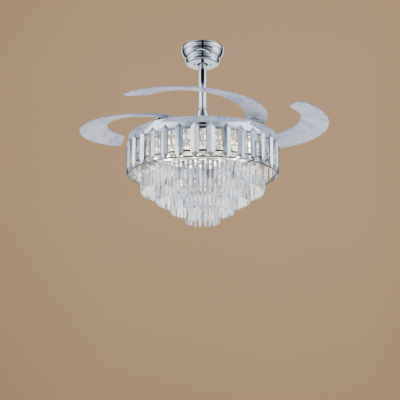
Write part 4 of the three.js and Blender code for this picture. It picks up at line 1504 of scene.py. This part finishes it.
@dataclass
class Drum(SubAssembly):
    """The chrome band with the pan, and what is mounted on the pan."""

    radius: float = 248.0
    height: float = 36.0
    wall: float = 1.6
    sheet: float = 1.4
    rim_flat: float = 3.5
    rim_inside: float = 1.9
    lip: float = 7.0
    pan: Profile = ((8.8, -34.3), (246.1, -34.3), (246.1, -32.5), (8.8, -32.5))
    dish: Profile = (
        (0.0, -58.6), (175.0, -58.6), (184.0, -49.6), (184.0, -34.6), (182.0, -34.6),
        (182.0, -49.6), (174.0, -56.6), (0.0, -56.6),
    )

    def build(self) -> None:
        """Builds and dresses the drum."""
        self.band()
        pan = turned("pan_disc", rounded(self.pan, radius=0.4, steps=2), sides=160)
        self.fit(pan, Body.HANGING, SATIN_CHROME, Slot.CHROME, ["light_pan"])
        self.keep("light_mount_plate", STEEL, edge_mm=0.3)
        self.keep("shaft_nut", STEEL, edge_mm=0.5)
        self.keep("led_driver", WHITE_PLASTIC, edge_mm=1.0)
        self.keep("led_board", SOLDER_MASK)
        dish = turned("opal_dish", rounded(self.dish, radius=4.0), sides=128)
        self.fit(dish, Body.HANGING, OPAL, Slot.OPAL, ["light_diffuser"])

    def band(self) -> None:
        """Makes the chrome band, with its rolled rim and the lip under the pan."""
        r, inner, foot = self.radius, self.radius - self.wall, -self.height
        outline = rounded([
            (r, foot), (r, 0.0), (r - self.rim_flat, 0.0), (inner - self.rim_inside, -self.sheet),
            (inner, -self.sheet), (inner, foot + self.sheet),
            (inner - self.lip, foot + self.sheet), (inner - self.lip, foot),
        ], radius=1.0)
        band = turned("chrome_band", outline, sides=192, crease=30.0)
        self.fit(band, Body.HANGING, CHROME, Slot.BAND_CHROME, ["drum_band"])


@dataclass(frozen=True)
class Crystal:
    """One crystal: corners as (outwards, across, up), faces, and which are its ground edges."""

    corners: Sequence[Corner]
    faces: Sequence[Sequence[int]]
    edges: frozenset[int]


def prism_crystal(section: Profile, levels: Profile, edges: Sequence[int]) -> Crystal:
    """A crystal with one section all the way down, drawn in at its ends.

    Args:
        section: Its section's corners, outwards and across.
        levels: Heights, and the section's scale at each.
        edges: Which of the section's sides are ground edges.

    Returns:
        The crystal.
    """
    corners = [(out * s, across * s, z) for z, s in levels for out, across in section]
    count = len(section)
    last = (len(levels) - 1) * count
    faces: list[Sequence[int]] = [tuple(range(count)), tuple(range(last, last + count))]
    ground: list[int] = []
    for layer in range(len(levels) - 1):
        for k in range(count):
            if k in edges:
                ground.append(len(faces))
            here, after = layer * count + k, layer * count + (k + 1) % count
            faces.append((here, after, after + count, here + count))
    return Crystal(corners, faces, frozenset(ground))


@dataclass
class CrystalLight(SubAssembly):
    """The outer drops, the bars behind them, the guard ring, and the stepped tiers."""

    drum_r: float = 248.0
    count: int = 32
    drop_gap: float = 0.7
    drop_width: float = 25.5
    drop_edge: float = 2.2
    drop_ridge: float = 7.0
    drop_line: float = 1.4
    drop_rim_z: tuple[float, float, float, float] = (-21.0, -37.0, -119.0, -133.0)
    drop_line_z: tuple[float, float] = (-35.0, -117.0)
    rail: Profile = ((248.15, -36.0), (248.65, -36.0), (248.65, -30.0), (248.15, -30.0))
    drop_pin_start_r: float = 249.0
    drop_pin_proud: float = 0.9
    drop_pin_z: float = -41.0
    drop_pin_r: float = 1.5
    bar_r: float = 241.0
    bar_width: float = 25.0
    bar_depth: float = 7.0
    bar_break: float = 1.5
    flutes: int = 6
    flute_depth: float = 1.9
    bar_levels: Profile = ((-39.6, 0.94), (-42.0, 1.0), (-122.5, 1.0), (-125.0, 0.94))
    bar_ring: Profile = ((234.5, -39.3), (241.4, -39.3), (241.4, -36.3), (234.5, -36.3))
    guard_r: tuple[float, float] = (243.1, 244.5)
    guard_levels: Profile = ((-113.0, -107.0), (-131.5, -127.5))
    guard_rods: int = 4
    guard_rod_r: float = 1.2
    guard_rod_z: tuple[float, float] = (-129.0, -36.3)
    tier_counts: tuple[int, ...] = (84, 63, 42, 21)
    tier_r: float = 202.0
    tier_step: float = 50.0
    tier_top: float = -124.0
    tier_drop: float = 34.0
    prism: Corner = (9.6, 7.6, 65.0)
    prism_nose: float = 1.0
    prism_break: float = 1.2
    prism_top: float = 5.0
    prism_shoulder: float = 7.5
    prism_foot: float = 4.0
    prism_end_scale: float = 0.7
    ring_half: float = 2.2
    ring_height: float = 3.0
    tier_pin_r: float = 0.8
    tier_pin_z: tuple[float, float] = (-6.0, -2.5)

    def build(self) -> None:
        """Builds and dresses the crystals and their rings."""
        self.drops()
        self.drop_rail()
        self.bars()
        self.guard()
        self.keep("tier_frame", SATIN_CHROME, edge_mm=0.3)
        for tier, count in enumerate(self.tier_counts):
            self.tier(tier, count)

    def between(self, number: int) -> float:
        """The angle of a drop, between two bars.

        Args:
            number: The drop's number.

        Returns:
            The angle, in radians.
        """
        return math.radians(-90 + 180 / self.count + 360.0 * number / self.count)

    def hang(
        self, name: str, crystal: Crystal, radius: float, count: int, first: float,
        finish: Finish, node: str,
    ) -> None:
        """Hangs copies of one crystal round the axis, as one mesh.

        Args:
            name: The piece's name.
            crystal: One crystal's corners and faces.
            radius: Where its own zero lies.
            count: How many there are.
            first: Angle of the first, in radians.
            finish: What the crystals are made of; their ground edges take their own finish.
            node: The CAD node that the row stands for.
        """
        points: list[Corner] = []
        faces: list[Sequence[int]] = []
        for i in range(count):
            a = first + 2 * math.pi * i / count
            base = len(points)
            for out, side, up in crystal.corners:
                r = radius + out
                x = r * math.cos(a) - side * math.sin(a)
                y = r * math.sin(a) + side * math.cos(a)
                points.append((x, y, up))
            faces += [tuple(base + k for k in face) for face in crystal.faces]
        row = from_points(name, points, faces, crease=8.0)
        for number, face in enumerate(row.data.polygons):
            face.material_index = int(number % len(crystal.faces) in crystal.edges)
        row.data.materials.append(finish.material())
        row.data.materials.append(CRYSTAL_EDGE.material())
        self.fit(row, Body.HANGING, finish, Slot.CRYSTAL, [node])

    def drops(self) -> None:
        """Makes the long pointed drops before the band: a rim, and a ridge down the front."""
        half, line = self.drop_width / 2, self.drop_line / 2
        peak, shoulder, hip, tip = self.drop_rim_z
        rim = [
            (0.0, peak), (half, shoulder), (half, hip), (0.0, tip), (-half, hip), (-half, shoulder),
        ]
        corners: list[Corner] = [(0.0, y, z) for y, z in rim]
        corners += [(self.drop_edge, y, z) for y, z in rim]
        corners += [(self.drop_ridge, y, z) for z in self.drop_line_z for y in (line, -line)]
        faces: list[Sequence[int]] = [(0, 1, 2, 3, 4, 5)]
        faces += [(k, (k + 1) % 6, 6 + (k + 1) % 6, 6 + k) for k in range(6)]
        faces += [(6, 7, 12), (7, 8, 14, 12), (8, 9, 14), (9, 10, 15), (10, 11, 13, 15)]
        faces += [(11, 6, 13), (12, 14, 15, 13), (6, 12, 13), (9, 15, 14)]
        crystal = Crystal(corners, faces, frozenset((1, 2, 3, 4, 5, 6, 13)))
        self.hang(
            "outer_drops", crystal, self.drum_r + self.drop_gap, self.count, self.between(0),
            DROP_CRYSTAL, "outer_crystals",
        )

    def drop_rail(self) -> None:
        """Makes the chrome rail on the band, and the pin through each drop."""
        pins = [turned("rail", rounded(self.rail, radius=0.2, steps=2), sides=168)]
        near = self.drop_pin_start_r
        far = self.drum_r + self.drop_gap + self.drop_ridge + self.drop_pin_proud
        for number in range(self.count):
            a = self.between(number)
            start = (near * math.cos(a), near * math.sin(a), self.drop_pin_z)
            end = (far * math.cos(a), far * math.sin(a), self.drop_pin_z)
            pins.append(round_bar("pin", self.drop_pin_r, start, end, sides=12))
        self.fit(merged("drop_rail", pins), Body.HANGING, CHROME, Slot.CHROME)

    def bars(self) -> None:
        """Makes the fluted bars behind, between the drops, and the ring they hang from."""
        half, back, broken = self.bar_width / 2, -self.bar_depth, self.bar_break
        front = [
            (-self.flute_depth * (k % 2 == 0), half - 2 * half * k / self.flutes)
            for k in range(self.flutes + 1)
        ]
        section = [
            (back, -half + broken), (back, half - broken), (back + broken, half), *front,
            (back + broken, -half),
        ]
        crystal = prism_crystal(section, self.bar_levels, edges=(1, 9))
        self.hang(
            "set_back_bars", crystal, self.bar_r, self.count, math.radians(-90.0), BAR_CRYSTAL,
            "set_back_crystals",
        )
        ring = turned("bar_ring", rounded(self.bar_ring, radius=0.5, steps=2), sides=160)
        self.fit(ring, Body.HANGING, CHROME, Slot.CHROME)

    def guard(self) -> None:
        """Makes the two thin rings low behind the drops, on four rods."""
        inner, outer = self.guard_r
        bars = []
        for low, high in self.guard_levels:
            strip = [(inner, low), (outer, low), (outer, high), (inner, high)]
            bars.append(turned("ring", rounded(strip, radius=0.5, steps=3), sides=176))
        middle = (inner + outer) / 2
        low, high = self.guard_rod_z
        for k in range(self.guard_rods):
            a = self.between(0) + 2 * math.pi * k / self.guard_rods
            x, y = middle * math.cos(a), middle * math.sin(a)
            start, end = (x, y, low), (x, y, high)
            bars.append(round_bar("rod", self.guard_rod_r, start, end, sides=12))
        strip = merged("guard_strip", bars)
        # the rings take the darkened chrome: painted shade
        self.fit(strip, Body.HANGING, SHADED_RING_CHROME, Slot.CHROME, ["crystal_guard_ring"])

    def tier(self, tier: int, count: int) -> None:
        """Makes one tier: prisms, and the chrome ring that they hang from by pins.

        Args:
            tier: 0 for the widest.
            count: How many prisms hang from it.
        """
        width, depth, length = self.prism
        radius = self.tier_r - self.tier_step * tier
        top = self.tier_top - self.tier_drop * tier
        half, nose, front = width / 2, self.prism_nose, depth / 2
        side = front - self.prism_break
        section = [
            (front, -half), (front, half), (side, half), (-front, nose), (-front, -nose),
            (side, -half),
        ]
        foot, drawn_in = top - length, self.prism_end_scale
        levels = (
            (top - self.prism_top, drawn_in), (top - self.prism_shoulder, 1.0),
            (foot + self.prism_foot, 1.0), (foot, drawn_in),
        )
        crystal = prism_crystal(section, levels, edges=(1, 3, 5))
        self.hang(
            f"tier_{tier + 2}_prisms", crystal, radius, count, math.radians(-90.0), CRYSTAL,
            f"crystal_tier_{tier + 2}",
        )
        self.tier_ring(f"tier_{tier + 2}_ring", radius, top, count)

    def tier_ring(self, name: str, radius: float, top: float, count: int) -> None:
        """Makes one tier's ring and its pins.

        Args:
            name: The piece's name.
            radius: The ring's radius.
            top: Height of its top.
            count: How many pins it has.
        """
        inner, outer = radius - self.ring_half, radius + self.ring_half
        low = top - self.ring_height
        ring = rounded(
            [(inner, low), (outer, low), (outer, top), (inner, top)], radius=0.6, steps=2
        )
        bars = [turned("ring", ring, sides=max(64, count * 2))]
        foot, head = (top + z for z in self.tier_pin_z)
        for i in range(count):
            a = math.radians(-90.0 + 360.0 * i / count)
            x, y = radius * math.cos(a), radius * math.sin(a)
            bars.append(round_bar("pin", self.tier_pin_r, (x, y, foot), (x, y, head), sides=8))
        self.fit(merged(name, bars), Body.HANGING, CHROME, Slot.CHROME)


# ---------------------------------------------------------------- studio


class Sum(Enum):
    """What a math node works out."""

    MULTIPLY = "MULTIPLY"
    MULTIPLY_ADD = "MULTIPLY_ADD"
    DIVIDE = "DIVIDE"
    ABSOLUTE = "ABSOLUTE"
    ARCTAN2 = "ARCTAN2"
    SINE = "SINE"
    GREATER_THAN = "GREATER_THAN"


class Blend(Enum):
    """How two colours are put together."""

    MIX = "MIX"
    MULTIPLY = "MULTIPLY"


Value = bpy.types.NodeSocket | float
Colour = bpy.types.NodeSocket | Corner


@dataclass(frozen=True)
class WorldNodes:
    """The nodes of the surroundings while they are being put together."""

    tree: bpy.types.NodeTree

    def feed(self, socket: bpy.types.NodeSocket, value: Value | Colour) -> None:
        """Gives a socket its value.

        Args:
            socket: The socket.
            value: Another node's socket, a number or a colour.
        """
        if isinstance(value, bpy.types.NodeSocket):
            self.tree.links.new(value, socket)
        else:
            socket.default_value = (*value, 1.0) if isinstance(value, tuple) else value

    def sum_of(self, kind: Sum, *values: Value) -> bpy.types.NodeSocket:
        """A math node's result.

        Args:
            kind: What it works out.
            values: What it works on.

        Returns:
            The socket with the result.
        """
        node = self.tree.nodes.new("ShaderNodeMath")
        node.operation = kind.value
        for socket, value in zip(node.inputs, values):
            self.feed(socket, value)
        return node.outputs["Value"]

    def as_share(self, value: bpy.types.NodeSocket) -> bpy.types.NodeSocket:
        """A value from -1 to 1 as a share from 0 to 1."""
        return self.sum_of(Sum.MULTIPLY_ADD, value, 0.5, 0.5)

    def ramp(self, value: bpy.types.NodeSocket, stops: Stops) -> bpy.types.NodeSocket:
        """A colour ramp's result.

        Args:
            value: The place along the ramp.
            stops: Places in rising order, and the colour at each.

        Returns:
            The socket with the colour.
        """
        ramp = self.tree.nodes.new("ShaderNodeValToRGB")
        fill_ramp(ramp, stops)
        self.tree.links.new(value, ramp.inputs["Fac"])
        return ramp.outputs["Color"]

    def grey_ramp(self, value: bpy.types.NodeSocket, levels: Profile) -> bpy.types.NodeSocket:
        """A ramp of greys.

        Args:
            value: The place along the ramp.
            levels: Places in rising order, and the lightness at each.

        Returns:
            The socket with the grey.
        """
        return self.ramp(value, [(at, (level, level, level)) for at, level in levels])

    def mixed(
        self, share: Value, first: Colour, second: Colour, blend: Blend = Blend.MIX
    ) -> bpy.types.NodeSocket:
        """Two colours put together.

        Args:
            share: How much of the second.
            first: The first colour.
            second: The second colour.
            blend: How they are put together.

        Returns:
            The socket with the colour.
        """
        node = self.tree.nodes.new("ShaderNodeMixRGB")
        node.blend_type = blend.value
        for socket, value in zip(node.inputs, (share, first, second)):
            self.feed(socket, value)
        return node.outputs["Color"]


@dataclass(frozen=True)
class Softbox:
    """A soft area light; sizes in metres in the part's frame."""

    name: str
    place: Corner
    size: tuple[float, float]
    watts: float
    colour: Corner = (1.0, 1.0, 1.0)
    target: Corner = (0.0, 0.0, -0.36)

    def build(self) -> None:
        """Adds the light, which is not seen itself."""
        data = bpy.data.lights.new(self.name, "AREA")
        data.shape = "RECTANGLE"
        data.size, data.size_y = self.size
        data.energy = self.watts
        data.color = self.colour
        lamp = bpy.data.objects.new(self.name, data)
        lamp.location = self.place
        aim = Vector(self.target) - Vector(self.place)
        lamp.rotation_euler = aim.to_track_quat("-Z", "Y").to_euler()
        lamp.visible_camera = False
        lamp.visible_glossy = False
        lamp.visible_transmission = False
        bpy.context.scene.collection.objects.link(lamp)


@dataclass(frozen=True)
class Studio:
    """The camera at the photograph's angle, the pale floor, and soft light.

    Places are metres in the part's frame. Heights of the surroundings go from 0 straight down
    to 1 straight up. Panels are given by degrees round from the camera's side.
    """

    camera_place: Corner = (-0.0088, -2.857, -1.1875)
    camera_pitch: float = 12.818
    lens: float = 79.9
    sensor: float = 36.0
    floor_z: float = -2.6
    floor_r: float = 9.0
    wall_tint: Corner = (0.545, 0.362, 0.208)
    # painted light and shade on the wall by height: lighter a little above level, darker towards
    # the top and bottom
    wall_light_by_height: Profile = (
        (0.0, 0.66), (0.35, 0.80), (0.5, 0.87), (0.60, 1.03), (0.68, 1.03), (0.72, 0.96),
        (1.0, 0.74),
    )
    # painted shade on the wall: darker towards both sides
    wall_shade_sideways: Profile = (
        (0.0, 0.7), (0.39, 0.84), (0.45, 0.96), (0.54, 1.0), (0.59, 0.98), (0.61, 0.92),
        (1.0, 0.7),
    )
    fill: Corner = (1.22, 1.22, 1.32)
    studio_level: float = 2.7
    stripe_count: float = 30.0
    stripes: Stops = ((0.25, (0.03, 0.035, 0.045)), (0.45, (0.55, 0.60, 0.70)))
    behind_from: float = 0.64
    panels: tuple[tuple[float, float, Corner], ...] = (
        (0.0, 0.004, (1.0, 1.0, 1.0)), (4.0, 0.01, (1.0, 1.0, 1.0)),
        (7.0, 0.17, (0.86, 0.93, 1.0)), (22.0, 0.22, (0.82, 0.9, 1.0)),
        (36.0, 0.55, (0.86, 0.93, 1.0)), (56.0, 1.0, (0.90, 0.95, 1.0)),
        (84.0, 1.0, (0.90, 0.95, 1.0)), (104.0, 0.55, (0.92, 0.96, 1.0)),
        (126.0, 0.04, (1.0, 1.0, 1.0)), (142.0, 0.04, (1.0, 1.0, 1.0)),
        (152.0, 0.5, (0.95, 0.98, 1.0)),
    )
    rows: Profile = (
        (0.0, 0.5), (0.08, 0.6), (0.13, 0.12), (0.24, 0.10), (0.27, 0.6), (0.30, 0.10),
        (0.38, 0.12), (0.46, 0.5), (0.50, 0.9), (0.535, 0.9), (0.55, 0.03), (0.585, 0.03),
        (0.605, 1.0), (0.668, 1.0), (0.68, 0.03), (0.80, 0.03), (0.86, 0.4), (1.0, 0.2),
    )
    side_rows: Profile = (
        (0.0, 0.4), (0.16, 0.15), (0.24, 0.25), (0.31, 0.95), (0.43, 1.0), (0.50, 0.25),
        (0.545, 0.3), (0.575, 1.0), (0.725, 1.0), (0.75, 0.12), (0.80, 0.2), (0.86, 0.9),
        (1.0, 0.3),
    )
    side_share: Profile = ((0.30, 0.0), (0.42, 1.0))
    boxes: tuple[Softbox, ...] = (
        Softbox("left_box", (-2.4, -2.2, 0.5), (1.5, 2.2), 60.0, (0.93, 0.96, 1.0)),
        Softbox("right_box", (2.4, -2.2, 0.5), (1.5, 2.2), 52.0, (0.93, 0.96, 1.0)),
        Softbox("top_box", (0.0, 0.3, 2.3), (2.6, 2.6), 45.0),
        Softbox("left_strip", (-2.6, 0.5, -0.4), (0.5, 2.4), 22.0),
        Softbox("right_strip", (2.6, 0.5, -0.4), (0.5, 2.4), 22.0),
        Softbox("low_fill", (0.0, -1.6, -2.3), (2.0, 1.4), 14.0),
        Softbox(
            "dish_glow", (0.0, 0.0, -0.3865), (0.32, 0.32), 7.0, (1.0, 0.97, 0.90),
            (0.0, 0.0, -1.0),
        ),
        Softbox(
            "low_glow", (0.0, 0.0, -0.47), (0.10, 0.10), 1.6, (1.0, 0.98, 0.94),
            (0.0, 0.0, -1.0),
        ),
    )

    def build(self) -> None:
        """Adds the camera, floor, world and lights."""
        self.camera()
        self.floor()
        self.world()
        for box in self.boxes:
            box.build()

    def camera(self) -> None:
        """Adds the camera."""
        data = bpy.data.cameras.new("camera")
        data.lens = self.lens
        data.sensor_width = self.sensor
        camera = bpy.data.objects.new("camera", data)
        camera.location = self.camera_place
        camera.rotation_euler = (math.radians(90.0 + self.camera_pitch), 0.0, 0.0)
        bpy.context.scene.collection.objects.link(camera)
        bpy.context.scene.camera = camera

    def floor(self) -> None:
        """Adds the plain pale floor, which the camera sees and the fan doesn't reflect."""
        mesh = bpy.data.meshes.new("floor")
        angles = [math.radians(a) for a in range(0, 360, 5)]
        ring = [
            (self.floor_r * math.cos(a), self.floor_r * math.sin(a), self.floor_z) for a in angles
        ]
        mesh.from_pydata(ring, [], [list(range(len(ring)))])
        floor = bpy.data.objects.new("floor", mesh)
        bpy.context.scene.collection.objects.link(floor)
        floor.data.materials.append(PALE_FLOOR.material())
        floor.visible_diffuse = False
        floor.visible_glossy = False
        floor.visible_transmission = False

    def wall(
        self, nodes: WorldNodes, height: bpy.types.NodeSocket, sideways: bpy.types.NodeSocket
    ) -> bpy.types.NodeSocket:
        """The tan wall that the camera sees, with painted light and shade: lighter in a band a
        little above level near the middle, and darker towards the top, the bottom and the sides.

        Args:
            nodes: The world's nodes.
            height: The height share of a direction.
            sideways: Its share from left to right.

        Returns:
            The socket with the wall's colour.
        """
        stops = [(at, tuple(c * level for c in self.wall_tint)) for at, level in self.wall_light_by_height]
        # painted shade, darker towards both sides
        shade = nodes.grey_ramp(sideways, self.wall_shade_sideways)
        return nodes.mixed(1.0, nodes.ramp(height, stops), shade, Blend.MULTIPLY)

    def surroundings(
        self,
        nodes: WorldNodes,
        height: bpy.types.NodeSocket,
        turn: bpy.types.NodeSocket,
        through_glass: bpy.types.NodeSocket,
    ) -> bpy.types.NodeSocket:
        """The studio that chrome and glass reflect: panels round about, in rows by height.

        Args:
            nodes: The world's nodes.
            height: The height share of a direction.
            turn: Its angle round from the camera's side, in radians.
            through_glass: 1 for light that comes through glass.

        Returns:
            The socket with the studio's colour.
        """
        aside = nodes.sum_of(Sum.DIVIDE, nodes.sum_of(Sum.ABSOLUTE, turn), math.pi)
        stops = [(at / 180, tuple(c * level for c in tint)) for at, level, tint in self.panels]
        panels = nodes.ramp(aside, stops)
        wave = nodes.sum_of(Sum.SINE, nodes.sum_of(Sum.MULTIPLY, turn, self.stripe_count))
        striped = nodes.ramp(nodes.as_share(wave), self.stripes)
        behind = nodes.sum_of(Sum.GREATER_THAN, aside, self.behind_from)
        seen_through = nodes.sum_of(Sum.MULTIPLY, behind, through_glass)
        front, side = nodes.grey_ramp(height, self.rows), nodes.grey_ramp(height, self.side_rows)
        by_height = nodes.mixed(nodes.grey_ramp(aside, self.side_share), front, side)
        round_about = nodes.mixed(seen_through, panels, striped)
        studio = nodes.mixed(1.0, round_about, by_height, Blend.MULTIPLY)
        return nodes.mixed(1.0, studio, (self.studio_level,) * 3, Blend.MULTIPLY)

    def world(self) -> None:
        """Adds the wall, and the studio and even fill that light and reflections take instead."""
        world = bpy.data.worlds.new("room")
        world.use_nodes = True
        tree = world.node_tree
        nodes = WorldNodes(tree)
        background = next(n for n in tree.nodes if n.type == "BACKGROUND")
        split = tree.nodes.new("ShaderNodeSeparateXYZ")
        place = tree.nodes.new("ShaderNodeTexCoord").outputs["Generated"]
        tree.links.new(place, split.inputs["Vector"])
        x, y, z = split.outputs
        path = tree.nodes.new("ShaderNodeLightPath").outputs
        height = nodes.as_share(z)
        turn = nodes.sum_of(Sum.ARCTAN2, x, nodes.sum_of(Sum.MULTIPLY, y, -1.0))
        studio = self.surroundings(nodes, height, turn, path["Is Transmission Ray"])
        lit = nodes.mixed(path["Is Diffuse Ray"], studio, self.fill)
        wall = self.wall(nodes, height, nodes.as_share(x))
        shown = nodes.mixed(path["Is Camera Ray"], lit, wall)
        tree.links.new(shown, background.inputs["Color"])
        background.inputs["Strength"].default_value = 1.0
        bpy.context.scene.world = world


def corners(box: tuple[Vector, Vector]) -> list[list[float]]:
    """A box's two corners as plain lists."""
    return [list(corner) for corner in box]


def main() -> None:
    """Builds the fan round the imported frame."""
    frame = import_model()
    nodes = frame["nodes"]
    parts = [CeilingHanger(nodes), Downrod(nodes), Motor(nodes), BladeMechanism(nodes)]
    parts += [FoldingBlade(nodes, number=number) for number in range(1, 5)]
    parts += [Drum(nodes), CrystalLight(nodes)]
    for part in parts:
        part.build()
        part.report()
    Studio().build()
    bpy.context.view_layer.update()


if __name__ == "__main__":
    logging.basicConfig(level=logging.INFO)
    main()
